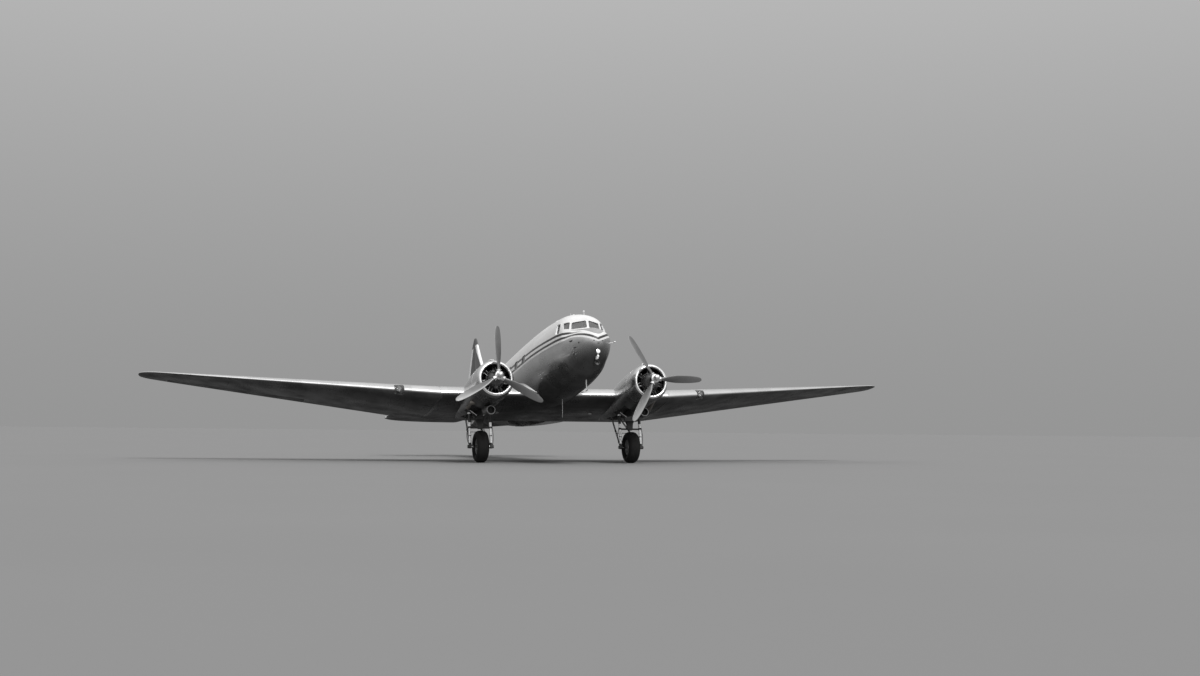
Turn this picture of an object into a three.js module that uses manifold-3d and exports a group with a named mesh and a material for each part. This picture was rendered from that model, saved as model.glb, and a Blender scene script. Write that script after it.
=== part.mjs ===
import * as THREE from 'three';
import { mergeVertices } from 'three/addons/utils/BufferGeometryUtils.js';
import Module from 'manifold-3d';

// A twin-engined low-wing airliner with a tail wheel, parked on its three wheels. Millimetres.
// Every piece is drawn level first: X to port, Y aft from the nose, Z up from the thrust line.
// The whole aircraft is then turned nose up about the main axle until all three tyres stand on Z = 0.

const wasm = await Module();
wasm.setup();

// Fits
const seat = 0.3;
const running = 6;
const pinClearance = 0.5;

// Stance
const parkingAngle = THREE.MathUtils.degToRad(10.8);
const mainAxle = { station: 5450, height: -1920 };
const tailAxleStation = 16900;
const engineOffset = 2820;

// Tyres
const mainTyre = { radius: 571.5, rimRadius: 285, width: 430, sides: 28 };
const tailTyre = { radius: 279.5, rimRadius: 130, width: 200, sides: 20 };

// Wing
const incidence = { root: THREE.MathUtils.degToRad(2), tip: THREE.MathUtils.degToRad(0.5) };
const wingRoot = { lead: 5030, chord: 4320, height: -60, thickness: 0.15, slope: Math.tan(incidence.root) };
const centreHalfSpan = 4270;
const wingHalfSpan = 14480;
const outerRise = 1200;
const camber = 0.02;
const camberPeak = 0.2;
const trailingThickness = 0.004;

// Propellers and cowls
const hubStation = 2470;
const bladeRadius = 1752.5;
const cowl = { lip: 2850, tail: 3860, mouthRadius: 490, lipRadius: 575, outerRadius: 682 };
const shaftRadius = 50;

// Hull
const hullSides = 24;
const hullBreak = 3150;
const roomFront = 1040;
const cockpitFloor = 380;
const hullWall = 60;

const sideTable = [
  { name: 'port', sign: 1 },
  { name: 'starboard', sign: -1 },
];

const finish = {
  metal: { color: 0xb4b7ba, roughness: 0.32, metalness: 0.9 },
  white: { color: 0xe9e9e6, roughness: 0.4, metalness: 0 },
  grey: { color: 0x77797b, roughness: 0.5, metalness: 0.2 },
  dark: { color: 0x26282a, roughness: 0.6, metalness: 0.3 },
  steel: { color: 0xc9ccce, roughness: 0.22, metalness: 1 },
  rubber: { color: 0x161617, roughness: 0.85, metalness: 0 },
  glass: { color: 0x39444b, roughness: 0.06, metalness: 0 },
  lamp: { color: 0xdfe3e4, roughness: 0.1, metalness: 0.1 },
  leather: { color: 0x3a322b, roughness: 0.7, metalness: 0 },
};

const craft = new THREE.Group();

function add(name, geometry, look, parent = craft) {
  const mesh = new THREE.Mesh(geometry, new THREE.MeshStandardMaterial(finish[look]));
  mesh.name = name;
  parent.add(mesh);
  return mesh;
}

// Closed meshes and their joins and cuts

function toSolid(geometry) {
  const bare = geometry.clone();
  bare.deleteAttribute('normal');
  bare.deleteAttribute('uv');
  const welded = mergeVertices(bare, 0.001);
  return new wasm.Manifold(new wasm.Mesh({
    numProp: 3,
    vertProperties: new Float32Array(welded.attributes.position.array),
    triVerts: new Uint32Array(welded.index.array),
  }));
}

function toGeometry(solid) {
  const mesh = solid.getMesh();
  const geometry = new THREE.BufferGeometry();
  geometry.setAttribute('position', new THREE.BufferAttribute(new Float32Array(mesh.vertProperties), 3));
  geometry.setIndex(new THREE.BufferAttribute(new Uint32Array(mesh.triVerts), 1));
  return geometry;
}

function join(...geometries) {
  return toGeometry(geometries.map(toSolid).reduce((sum, solid) => sum.add(solid)));
}

function cut(geometry, ...tools) {
  return toGeometry(tools.map(toSolid).reduce((rest, tool) => rest.subtract(tool), toSolid(geometry)));
}

function common(geometry, tool) {
  return toGeometry(toSolid(geometry).intersect(toSolid(tool)));
}

function enclosedVolume(positions, index) {
  const a = new THREE.Vector3();
  const b = new THREE.Vector3();
  const c = new THREE.Vector3();
  let volume = 0;
  for (let i = 0; i < index.length; i += 3) {
    a.fromArray(positions, index[i] * 3);
    b.fromArray(positions, index[i + 1] * 3);
    c.fromArray(positions, index[i + 2] * 3);
    volume += a.dot(b.cross(c)) / 6;
  }
  return volume;
}

// A skin over rings of [x, y, z] points, closed by a flat fan at each end.
function skin(rings) {
  const count = rings[0].length;
  const positions = rings.flat(2);
  const index = [];
  for (let r = 0; r < rings.length - 1; r += 1) {
    for (let i = 0; i < count; i += 1) {
      const j = (i + 1) % count;
      const here = r * count;
      const next = here + count;
      index.push(here + i, here + j, next + j);
      index.push(here + i, next + j, next + i);
    }
  }
  for (const end of [0, rings.length - 1]) {
    const middle = [0, 1, 2].map((k) => rings[end].reduce((sum, point) => sum + point[k], 0) / count);
    const centre = positions.length / 3;
    positions.push(...middle);
    for (let i = 0; i < count; i += 1) {
      const here = end * count + i;
      const next = end * count + ((i + 1) % count);
      if (end === 0) index.push(centre, next, here);
      else index.push(centre, here, next);
    }
  }
  if (enclosedVolume(positions, index) < 0) index.reverse();
  const geometry = new THREE.BufferGeometry();
  geometry.setAttribute('position', new THREE.Float32BufferAttribute(positions, 3));
  geometry.setIndex(index);
  return geometry;
}

function mirrored(geometry) {
  const copy = geometry.clone();
  copy.deleteAttribute('normal');
  copy.scale(-1, 1, 1);
  copy.setIndex(Array.from(copy.index.array).reverse());
  return copy;
}

function forSide(geometry, side) {
  return side.sign > 0 ? geometry : mirrored(geometry);
}

function box(x, y, z) {
  const geometry = new THREE.BoxGeometry(x[1] - x[0], y[1] - y[0], z[1] - z[0]);
  geometry.translate((x[0] + x[1]) / 2, (y[0] + y[1]) / 2, (z[0] + z[1]) / 2);
  return geometry;
}

// A round bar from one point to another, with its two radii.
function bar(from, to, radius, sides = 10, endRadius = radius) {
  const a = new THREE.Vector3(...from);
  const b = new THREE.Vector3(...to);
  const along = b.clone().sub(a);
  const geometry = new THREE.CylinderGeometry(endRadius, radius, along.length(), sides);
  geometry.translate(0, along.length() / 2, 0);
  geometry.applyQuaternion(new THREE.Quaternion().setFromUnitVectors(
    new THREE.Vector3(0, 1, 0), along.normalize()));
  geometry.translate(a.x, a.y, a.z);
  return geometry;
}

// A turned piece about the Y axis, from [radius, station] pairs.
function turned(profile, sides) {
  return new THREE.LatheGeometry(profile.map(([radius, y]) => new THREE.Vector2(radius, y)), sides);
}

// A turned piece about the X axis.
function turnedAcross(profile, sides) {
  return turned(profile, sides).rotateZ(-Math.PI / 2);
}

// Corner radius of a round hole with flat facets that clears a shaft by the pin clearance.
function socketRadius(radius, sides) {
  return (radius + pinClearance) / Math.cos(Math.PI / sides);
}

// Hull: columns are station, half width, crown, keel, height of the widest line,
// aft sweep of the section with distance from the centre line, squareness of the section's upper part.
const bellySquareness = 1.9;
const hullTable = [
  [0, 30, 810, 730, 770, 0, 2.0],
  [30, 170, 955, 575, 775, 0, 2.0],
  [120, 340, 1085, 390, 780, 0.05, 2.05],
  [280, 500, 1190, 195, 790, 0.12, 2.05],
  [550, 660, 1290, 0, 805, 0.3, 2.15],
  [1040, 800, 1400, -190, 820, 0.55, 2.55],
  [1180, 838, 1800, -225, 825, 0.55, 3.3],
  [1550, 908, 1995, -280, 835, 0.4, 3.05],
  [2200, 980, 2160, -325, 850, 0.15, 2.55],
  [3150, 1090, 2270, -350, 880, 0, 2.2],
  [4400, 1190, 2330, -360, 920, 0, 2.15],
  [5600, 1220, 2340, -350, 940, 0, 2.15],
  [6600, 1230, 2340, -280, 960, 0, 2.15],
  [9350, 1220, 2310, -195, 990, 0, 2.15],
  [11500, 1140, 2240, 50, 1080, 0, 2.1],
  [13500, 950, 2140, 380, 1220, 0, 2.1],
  [15500, 670, 2000, 720, 1370, 0, 2.05],
  [17340, 380, 1820, 1020, 1440, 0, 2.0],
  [17420, 370, 1590, 1030, 1330, 0, 2.0],
  [18600, 190, 1540, 1230, 1390, 0, 2.0],
  [19150, 60, 1480, 1370, 1425, 0, 2.0],
];

function hullRow([station, halfWidth, crown, keel, wide, sweep, squareness]) {
  return { station, halfWidth, crown, keel, wide, sweep, squareness };
}

function hullRing(row, inset = 0) {
  const ring = [];
  for (let i = 0; i < hullSides; i += 1) {
    const angle = (2 * Math.PI * i) / hullSides;
    const across = Math.cos(angle);
    const up = Math.sin(angle);
    const height = up > 0 ? row.crown - row.wide - inset : row.wide - row.keel - inset;
    const power = 2 / (up > 0 ? row.squareness : bellySquareness);
    const x = Math.sign(across) * Math.abs(across) ** power * (row.halfWidth - inset);
    const z = row.wide + Math.sign(up) * Math.abs(up) ** power * height;
    ring.push([Math.abs(across) < 1e-9 ? 0 : x, row.station + row.sweep * Math.abs(x), z]);
  }
  return ring;
}

function hull(from, to, inset = 0) {
  const rows = hullTable.map(hullRow).filter((row) => row.station >= from && row.station <= to);
  return skin(rows.map((row) => hullRing(row, inset)));
}

// Wing sections

function aerofoilHeight(fraction, thickness) {
  const x = fraction;
  const half = 5 * thickness * (0.2969 * Math.sqrt(x) - 0.126 * x - 0.3516 * x ** 2
    + 0.2843 * x ** 3 - 0.1036 * x ** 4) + (trailingThickness / 2) * x;
  const mean = x < camberPeak
    ? (camber / camberPeak ** 2) * (2 * camberPeak * x - x * x)
    : (camber / (1 - camberPeak) ** 2) * (1 - 2 * camberPeak + 2 * camberPeak * x - x * x);
  return { upper: mean + half, lower: mean - half };
}

const chordStations = [1, 0.9, 0.78, 0.6, 0.42, 0.27, 0.15, 0.07, 0.025, 0.006];

// A wing section as a ring, upper side first. grow pushes the outline outwards.
function wingRing(section, grow = 0) {
  const { x, lead, chord, height, thickness, slope } = section;
  const point = (fraction, level, up) => {
    const nose = fraction < 0.001 ? -grow : 0;
    const tail = fraction > 0.999 ? grow : 0;
    const y = lead + fraction * chord + nose + tail;
    return [x, y, height - slope * fraction * chord + level * chord + up * grow];
  };
  const upper = chordStations.map((f) => point(f, aerofoilHeight(f, thickness).upper, 1));
  const nose = point(0, 0, 0);
  const lower = [...chordStations].reverse().map((f) => point(f, aerofoilHeight(f, thickness).lower, -1));
  return [...upper, nose, ...lower];
}

// Outer wing: columns are distance out, leading edge, trailing edge. The last rows round off the tip.
const outerTable = [
  [4270, 5030, 9350],
  [13500, 7590, 8960],
  [14050, 7790, 8900],
  [14330, 7990, 8790],
  [14440, 8150, 8660],
  [14480, 8290, 8500],
];

function outerSection([x, lead, rear]) {
  const out = (x - centreHalfSpan) / (wingHalfSpan - centreHalfSpan);
  return {
    x,
    lead,
    chord: rear - lead,
    height: wingRoot.height + outerRise * out,
    thickness: THREE.MathUtils.lerp(wingRoot.thickness, 0.07, Math.min(out / 0.9, 1)),
    slope: Math.tan(THREE.MathUtils.lerp(incidence.root, incidence.tip, out)),
  };
}

// A section of the straight part of the outer wing, on the straight lines from its root to its tip.
function outerAt(x) {
  const [root, tip] = outerTable.slice(0, 2).map(outerSection);
  const t = (x - root.x) / (tip.x - root.x);
  const between = (key) => THREE.MathUtils.lerp(root[key], tip[key], t);
  const chord = between('chord');
  const share = (key) => THREE.MathUtils.lerp(root[key] * root.chord, tip[key] * tip.chord, t) / chord;
  return {
    x, chord, lead: between('lead'), height: between('height'), thickness: share('thickness'), slope: share('slope'),
  };
}

function centreSection(x) {
  return { x, ...wingRoot };
}

function wingLevel(section, fraction, face) {
  const level = aerofoilHeight(fraction, section.thickness)[face];
  return section.height - section.slope * fraction * section.chord + level * section.chord;
}

// Control surfaces and flaps. A control surface is a wedge with a round nose about its hinge line.

function surfaceRing(centre, radius, rear, halfRear, across, up) {
  const ring = [];
  const arcSteps = 4;
  for (let i = 0; i <= arcSteps; i += 1) {
    const angle = Math.PI / 2 + (Math.PI * i) / arcSteps;
    ring.push([Math.cos(angle) * radius, Math.sin(angle) * radius]);
  }
  ring.push([rear, -halfRear], [rear, halfRear]);
  return ring.map(([aft, high]) => centre.map((c, k) => c + aft * across[k] + high * up[k]));
}

// The aileron's sections: its hinge centre, nose radius and reach behind the hinge.
// It is drawn a little too long, then both ends are cut square to the hinge line.
const aileronSpan = [8640, 13480];
const aileronSpare = 70;
const aileronFraction = 0.78;

function aileronSection(x) {
  const section = outerAt(x);
  const upper = wingLevel(section, aileronFraction, 'upper');
  const lower = wingLevel(section, aileronFraction, 'lower');
  const radius = (upper - lower) / 2;
  const hinge = section.lead + aileronFraction * section.chord;
  const rearLevel = (wingLevel(section, 1, 'upper') + wingLevel(section, 1, 'lower')) / 2;
  const middle = (upper + lower) / 2;
  const reach = section.lead + section.chord - hinge;
  const fall = (rearLevel - middle) / reach;
  return { x, hinge, middle, radius, reach, fall };
}

function aileronRing({ x, hinge, middle, radius, reach, fall }) {
  return surfaceRing([x, hinge, middle], radius, reach, 6, [0, 1, fall], [0, -fall, 1]);
}

function slotRing({ x, hinge, middle, radius, reach }) {
  const front = hinge - radius - running;
  const rear = hinge + reach + 300;
  return [
    [x, front, middle - 600],
    [x, rear, middle - 600],
    [x, rear, middle + 600],
    [x, front, middle + 600],
  ];
}

// Split flaps: thin panels in the underside of the trailing edge, hinged along their front edge.
const flapFront = 0.8;
const flapRear = 0.965;
const flapPlate = 12;

function flapSection(section) {
  const front = section.lead + flapFront * section.chord;
  const rear = section.lead + flapRear * section.chord;
  const frontLevel = wingLevel(section, flapFront, 'lower') + flapPlate;
  const rearLevel = wingLevel(section, flapRear, 'lower') + flapPlate / 2;
  return { x: section.x, front, rear, frontLevel, fall: (rearLevel - frontLevel) / (rear - front) };
}

function flapRing({ x, front, rear, frontLevel, fall }) {
  return surfaceRing([x, front, frontLevel], flapPlate, rear - front, 4, [0, 1, fall], [0, -fall, 1]);
}

function flapSlotRing({ x, front, rear, frontLevel, fall }) {
  const start = front - flapPlate - running;
  const end = rear + running;
  const depth = 400;
  return [
    [x, start, frontLevel - depth],
    [x, end, frontLevel - depth],
    [x, end, frontLevel + fall * (rear - front) + 4 + running],
    [x, start, frontLevel + flapPlate + running],
  ];
}

function hingePin(a, b, radius, direction) {
  const along = new THREE.Vector3(...b).sub(new THREE.Vector3(...a)).normalize().multiplyScalar(direction);
  const reach = running + 30;
  const root = direction > 0 ? b : a;
  const from = root.map((value, k) => value - along.getComponent(k) * 20);
  const to = root.map((value, k) => value + along.getComponent(k) * reach);
  const deep = root.map((value, k) => value + along.getComponent(k) * (reach + 1));
  return {
    pin: bar(from, to, radius, 8),
    socket: bar(from, deep, socketRadius(radius, 8), 8),
  };
}

function hingePins(a, b, radius) {
  return [hingePin(a, b, radius, -1), hingePin(a, b, radius, 1)];
}

// What lies between two planes square to the hinge line a-b, each the given distance beyond its end.
function squareEnded(geometry, a, b, beyond) {
  const start = new THREE.Vector3(...a);
  const end = new THREE.Vector3(...b);
  const along = end.clone().sub(start).normalize();
  return toGeometry(toSolid(geometry)
    .trimByPlane(along.toArray(), along.dot(start) - beyond)
    .trimByPlane(along.clone().negate().toArray(), -along.dot(end) - beyond));
}

// Wing pieces

const centreFlapHalfSpan = centreHalfSpan - 70;
const outerFlapSpan = [centreHalfSpan + 70, aileronSpan[0] - 80];

// Round pads for jacks under the centre wing, between the hull and the nacelles.
const jackPad = { offset: 1800, station: 7000, radius: 70, height: 30 };

// The landing lamp's clear lens, which takes the place of a short length of the wing's nose.
const landingLamp = { span: [5530, 5860], depth: 170 };

function lampBlock(gap) {
  const [inner, outer] = landingLamp.span;
  const rear = outerAt(outer).lead + landingLamp.depth;
  return box([inner + gap, outer - gap], [wingRoot.lead - 500, rear - gap], [-1000, 1500]);
}

function makeWing() {
  const centre = skin([-centreHalfSpan, centreHalfSpan].map((x) => wingRing(centreSection(x))));
  const flapEnds = [-centreFlapHalfSpan, centreFlapHalfSpan];
  const flapSections = flapEnds.map((x) => flapSection(centreSection(x)));
  const flapSlot = skin([-1, 1].map((sign, i) => flapSlotRing({
    ...flapSections[i], x: flapEnds[i] + sign * running,
  })));
  const flapPins = hingePins(
    [flapEnds[0], flapSections[0].front, flapSections[0].frontLevel],
    [flapEnds[1], flapSections[1].front, flapSections[1].frontLevel], 6);
  const slotted = cut(centre, flapSlot, ...flapPins.map((pair) => pair.socket));
  const padLevel = wingLevel(centreSection(0), (jackPad.station - wingRoot.lead) / wingRoot.chord, 'lower');
  const pads = sideTable.map((side) => bar(
    [side.sign * jackPad.offset, jackPad.station, padLevel + jackPad.height],
    [side.sign * jackPad.offset, jackPad.station, padLevel - jackPad.height], jackPad.radius, 16));
  add('wing_centre', join(slotted, ...pads), 'metal');
  add('flap_centre', join(skin(flapSections.map(flapRing)), ...flapPins.map((pair) => pair.pin)), 'metal');

  for (const side of sideTable) {
    const rows = outerTable.map(outerSection);
    rows[0].x += seat;
    const outer = skin(rows.map((row) => wingRing(row)));

    const [inner, tip] = aileronSpan.map(aileronSection).map(({ x, hinge, middle }) => [x, hinge, middle]);
    const aileron = [aileronSpan[0] - aileronSpare, aileronSpan[1] + aileronSpare].map(aileronSection);
    const aileronSlot = squareEnded(skin(aileron.map(slotRing)), inner, tip, running);
    const aileronPins = hingePins(inner, tip, 14);

    const flap = outerFlapSpan.map((x) => flapSection(outerAt(x)));
    const slot = skin([-1, 1].map((sign, i) => flapSlotRing({
      ...flap[i], x: outerFlapSpan[i] + sign * running,
    })));
    const pins = hingePins(
      [flap[0].x, flap[0].front, flap[0].frontLevel],
      [flap[1].x, flap[1].front, flap[1].frontLevel], 6);

    const sockets = [...aileronPins, ...pins].map((pair) => pair.socket);
    const wing = cut(outer, aileronSlot, slot, ...sockets, lampBlock(0));
    add(`wing_outer_${side.name}`, forSide(wing, side), 'metal');
    add(`landing_lamp_${side.name}`, forSide(common(outer, lampBlock(seat)), side), 'lamp');
    const aileronWedge = squareEnded(skin(aileron.map(aileronRing)), inner, tip, 0);
    const aileronBody = join(aileronWedge, ...aileronPins.map((pair) => pair.pin));
    add(`aileron_${side.name}`, forSide(aileronBody, side), 'metal');
    const flapBody = join(skin(flap.map(flapRing)), ...pins.map((pair) => pair.pin));
    add(`flap_${side.name}`, forSide(flapBody, side), 'metal');
  }
}

// The centre wing, a little larger all round, for cutting its seat out of what it passes through.
function wingSeat() {
  const reach = centreHalfSpan + 10;
  return skin([-reach, reach].map((x) => wingRing(centreSection(x), seat)));
}

function flapSeat() {
  const ends = [-centreFlapHalfSpan - running, centreFlapHalfSpan + running];
  return skin(ends.map((x) => flapSlotRing({ ...flapSection(centreSection(x)), x })));
}

// Wing root fillets: columns are station, fillet radius.
const filletTable = [
  [5000, 40],
  [5500, 150],
  [6300, 260],
  [7400, 380],
  [8500, 480],
  [9300, 500],
  [9900, 330],
  [10500, 90],
];

function filletRing([station, radius]) {
  const fraction = Math.min((station - wingRoot.lead) / wingRoot.chord, 1);
  const section = centreSection(0);
  const top = wingLevel(section, Math.max(fraction, 0), 'upper') - 4;
  const base = (top + wingLevel(section, Math.max(fraction, 0), 'lower')) / 2;
  const side = hullHalfWidthAt(station, top + radius);
  const inner = side - 260;
  const ring = [[inner, station, base], [side + radius, station, base]];
  const steps = 4;
  for (let i = 0; i <= steps; i += 1) {
    const angle = (Math.PI / 2) * (i / steps);
    ring.push([
      side + radius * (1 - Math.sin(angle)), station, top + radius * (1 - Math.cos(angle)) + 1,
    ]);
  }
  ring.push([inner, station, top + radius + 1]);
  return ring;
}

// Half width of the hull at a station and a height.
function hullHalfWidthAt(station, level) {
  const rows = hullTable.map(hullRow);
  const next = rows.findIndex((row) => row.station >= station);
  const a = rows[Math.max(next - 1, 0)];
  const b = rows[next];
  const t = (station - a.station) / (b.station - a.station);
  const value = (key) => THREE.MathUtils.lerp(a[key], b[key], t);
  const reach = level > value('wide') ? value('crown') - value('wide') : value('wide') - value('keel');
  const part = Math.min(Math.abs(level - value('wide')) / reach, 1);
  const power = level > value('wide') ? value('squareness') : bellySquareness;
  return value('halfWidth') * (1 - part ** power) ** (1 / power);
}

// Cockpit windows. Each pane is cut square to itself; corners are x, y, z at port.
const paneTable = [
  {
    name: 'windshield',
    corners: [[38, 1070, 1425], [522, 1364, 1415], [470, 1416, 1662], [38, 1154, 1702]],
  },
  {
    name: 'side_window',
    corners: [[572, 1405, 1433], [742, 1575, 1458], [688, 1668, 1688], [528, 1440, 1692]],
  },
  {
    name: 'rear_side_window',
    corners: [[818, 1720, 1340], [868, 2000, 1360], [747, 2080, 1735], [706, 1800, 1705]],
  },
];

function panePrism(corners, shrink) {
  const points = corners.map((corner) => new THREE.Vector3(...corner));
  const middle = points.reduce((sum, point) => sum.add(point), new THREE.Vector3()).divideScalar(4);
  const normal = points[2].clone().sub(points[0]).cross(points[3].clone().sub(points[1])).normalize();
  const rings = [-200, 200].map((depth) => points.map((point) => {
    const inward = middle.clone().sub(point).normalize().multiplyScalar(shrink);
    return point.clone().add(inward).addScaledVector(normal, depth).toArray();
  }));
  return skin(rings);
}

// The cabin door at port: its edges as stations and heights, and its hinge line at the front edge.
const door = { front: 12050, rear: 12800, sill: 700, head: 2020, thickness: 50, hinge: 12035 };

function makeHull() {
  const nose = hull(0, hullBreak);
  const body = hull(hullBreak, 19150);

  // The cockpit: a room with a flat floor, open at the back where the cabin bulkhead closes it.
  const roomRows = hullTable.map(hullRow).filter((row) => row.station >= roomFront && row.station <= hullBreak);
  const roomRings = roomRows.map((row) => hullRing(row, hullWall));
  roomRings.push(roomRings.at(-1).map(([x, y, z]) => [x, y + 100, z]));
  const room = common(skin(roomRings), box([-1500, 1500], [0, 4000], [cockpitFloor, 3000]));
  const panes = paneTable.flatMap((pane) => {
    const prism = panePrism(pane.corners, 0);
    return [prism, mirrored(prism)];
  });
  add('nose_shell', cut(nose, room, ...panes), 'metal');

  // Glass, let into the wall just under the outer surface.
  const outerFace = hull(0, hullBreak, 12);
  const innerFace = hull(0, hullBreak, 26);
  const glassLayer = cut(outerFace, innerFace, box([-2000, 2000], [-100, 900], [-1000, 3000]));
  for (const pane of paneTable) {
    for (const side of sideTable) {
      const prism = forSide(panePrism(pane.corners, 1), side);
      add(`${pane.name}_${side.name}`, common(glassLayer, prism), 'glass');
    }
  }

  // The cabin and tail.
  const fillet = skin(filletTable.map(filletRing));
  const doorPocket = doorPanel(running, door.thickness + running);
  const cabin = cut(
    join(body, fillet, mirrored(fillet), ...doorBrackets()),
    wingSeat(), flapSeat(), doorPocket, ...doorSockets(), rudderSocket(), ...elevatorSockets(),
    tailLegSeat(), box([-3000, 3000], [0, hullBreak + seat], [-1000, 4000]));
  add('fuselage', cabin, 'metal');
}

// The door leaf, or with room round it the pocket that it closes.
function doorPanel(room, depth) {
  const rows = [door.front - room, door.rear + room];
  const shell = cut(
    hull(9350, 15500, room > 0 ? -100 : 0),
    hull(9350, 15500, depth));
  return common(shell, box([0, 3000], rows, [door.sill - room, door.head + room]));
}

const doorHinges = [1080, 1650];

function doorAxisX() {
  return hullHalfWidthAt(door.hinge, 1200) + 26;
}

function doorBrackets() {
  const x = doorAxisX();
  return doorHinges.map((level) => box([x - 300, x + 18], [door.hinge - 22, door.hinge + 4], [level - 60, level - 2]));
}

function doorSockets() {
  const x = doorAxisX();
  return doorHinges.map((level) => bar(
    [x, door.hinge - 9, level - 50], [x, door.hinge - 9, level + 10], socketRadius(7, 10), 10));
}

function makeDoor() {
  const x = doorAxisX();
  const leaf = doorPanel(0, door.thickness);
  const arms = doorHinges.flatMap((level) => [
    cut(box([x - 300, x + 18], [door.front + 2, door.front + 60], [level, level + 40]), hull(9350, 15500, 30)),
    box([x - 18, x + 18], [door.hinge - 18, door.front + 10], [level, level + 40]),
    bar([x, door.hinge - 9, level - 48], [x, door.hinge - 9, level + 20], 7, 10),
  ]);
  add('cabin_door', join(leaf, ...arms), 'metal');
}

// Tail surfaces: columns are distance along the span, front, hinge line, half thickness, half hinge.
const hingeStation = 17620;

function tailRing([level, front, back, thick, rear], toPoint) {
  const length = back - front;
  const shape = [
    [0, 0],
    [0.03, 0.42],
    [0.12, 0.75],
    [0.35, 1],
    [0.65, 1],
  ];
  const port = shape.map(([f, t]) => toPoint(level, front + f * length, t * thick));
  const starboard = shape.slice(1).reverse().map(([f, t]) => toPoint(level, front + f * length, -t * thick));
  return [...port, toPoint(level, back, rear), toPoint(level, back, -rear), ...starboard];
}

const finTable = [
  [1780, 14600, 17520, 150, 95],
  [2250, 15080, 17520, 145, 92],
  [3100, 15870, 17520, 125, 80],
  [3950, 16610, 17520, 95, 60],
  [4700, 17130, 17520, 55, 42],
  [4980, 17300, 17520, 34, 28],
  [5060, 17400, 17520, 20, 18],
];

// Rudder: columns are height, trailing edge.
const rudderTable = [
  [1650, 19350],
  [1900, 19600],
  [2250, 19650],
  [3000, 19380],
  [3800, 18900],
  [4400, 18470],
  [4800, 18130],
  [5000, 17880],
  [5085, 17740],
];

function rudderRadius(level) {
  return THREE.MathUtils.clamp(THREE.MathUtils.mapLinear(level, 1780, 5060, 95, 22), 22, 95);
}

const stabTable = [
  [200, 15950, 17520, 130, 80],
  [1000, 16160, 17520, 115, 72],
  [2400, 16550, 17520, 85, 55],
  [3500, 16870, 17520, 55, 36],
  [3880, 17060, 17520, 36, 26],
  [4030, 17260, 17520, 22, 20],
];
const stabHeight = 1500;

// Elevator: columns are distance out, trailing edge.
const elevatorTable = [
  [430, 17900],
  [840, 18610],
  [2000, 18560],
  [3100, 18400],
  [3700, 18180],
  [3980, 17930],
  [4060, 17790],
];

function elevatorRadius(out) {
  return THREE.MathUtils.clamp(THREE.MathUtils.mapLinear(out, 200, 4030, 80, 22), 22, 80);
}

function rudderSocket() {
  return bar([0, hingeStation, 1400], [0, hingeStation, 1700], socketRadius(30, 12), 12);
}

function elevatorSockets() {
  return sideTable.map((side) => bar(
    [side.sign * 200, hingeStation, stabHeight], [side.sign * 500, hingeStation, stabHeight],
    socketRadius(30, 24), 24));
}

function makeTail() {
  const finRings = finTable.map((row) => tailRing(row, (level, y, x) => [x, y, level]));
  const hullSeat = hull(9350, 19150, -seat);
  add('fin', cut(skin(finRings), hullSeat), 'metal');

  const rudderRings = rudderTable.map(([level, rear]) => surfaceRing(
    [0, hingeStation, level], rudderRadius(level), rear - hingeStation, 5, [0, 1, 0], [-1, 0, 0]));
  const rudderPost = bar([0, hingeStation, 1401], [0, hingeStation, 1800], 30, 12);
  add('rudder', join(skin(rudderRings), rudderPost), 'metal');

  const stabRings = stabTable.map((row) => tailRing(row, (out, y, z) => [out, y, stabHeight + z]));
  const elevatorRings = elevatorTable.map(([out, rear]) => surfaceRing(
    [out, hingeStation, stabHeight], elevatorRadius(out), rear - hingeStation, 5, [0, 1, 0], [0, 0, 1]));
  const torqueTube = bar([201, hingeStation, stabHeight], [700, hingeStation, stabHeight], 30, 12);
  const elevator = join(skin(elevatorRings), torqueTube);
  for (const side of sideTable) {
    const stab = cut(forSide(skin(stabRings), side), hullSeat);
    add(`stabiliser_${side.name}`, stab, 'metal');
    add(`elevator_${side.name}`, forSide(elevator, side), 'metal');
  }
}

// Nacelles: columns are station, half width, top, bottom, widest height.
const nacelleTable = [
  [3860, 670, 670, -670, 0],
  [4400, 665, 680, -720, -20],
  [5100, 640, 630, -770, -60],
  [6000, 600, 480, -710, -110],
  [6900, 530, 200, -600, -160],
  [7700, 410, -60, -490, -220],
  [8330, 250, -220, -400, -300],
];

function nacelleRing([station, halfWidth, top, bottom, wide]) {
  const sides = 20;
  const ring = [];
  for (let i = 0; i < sides; i += 1) {
    const angle = (2 * Math.PI * i) / sides;
    const up = Math.sin(angle);
    const reach = up > 0 ? top - wide : wide - bottom;
    ring.push([engineOffset + halfWidth * Math.cos(angle), station, wide + up * reach]);
  }
  return ring;
}

// The wheel well, open below: a wide part for the legs and a narrow one for the rear brace.
const well = { front: 4560, waist: 5950, rear: 7250, halfWidth: 450, halfNarrow: 290, roof: -310 };

const carburettorScoop = { front: 3450, rear: 4700, halfWidth: 120, top: 810 };
const oilScoop = { front: 3740, height: -930, mouthRadius: 130 };

// Oil cooler duct: columns are station, half width, top, bottom, widest height.
const oilTable = [
  [3740, 155, -775, -1085, -930],
  [3950, 178, -735, -1095, -915],
  [4250, 178, -670, -1045, -865],
  [4560, 140, -600, -890, -750],
];

function scoopRing(station, halfWidth, base, top) {
  const round = 0.35 * halfWidth;
  return [
    [engineOffset - halfWidth, station, base],
    [engineOffset + halfWidth, station, base],
    [engineOffset + halfWidth, station, top - round],
    [engineOffset + halfWidth - round, station, top],
    [engineOffset - halfWidth + round, station, top],
    [engineOffset - halfWidth, station, top - round],
  ];
}

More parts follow.
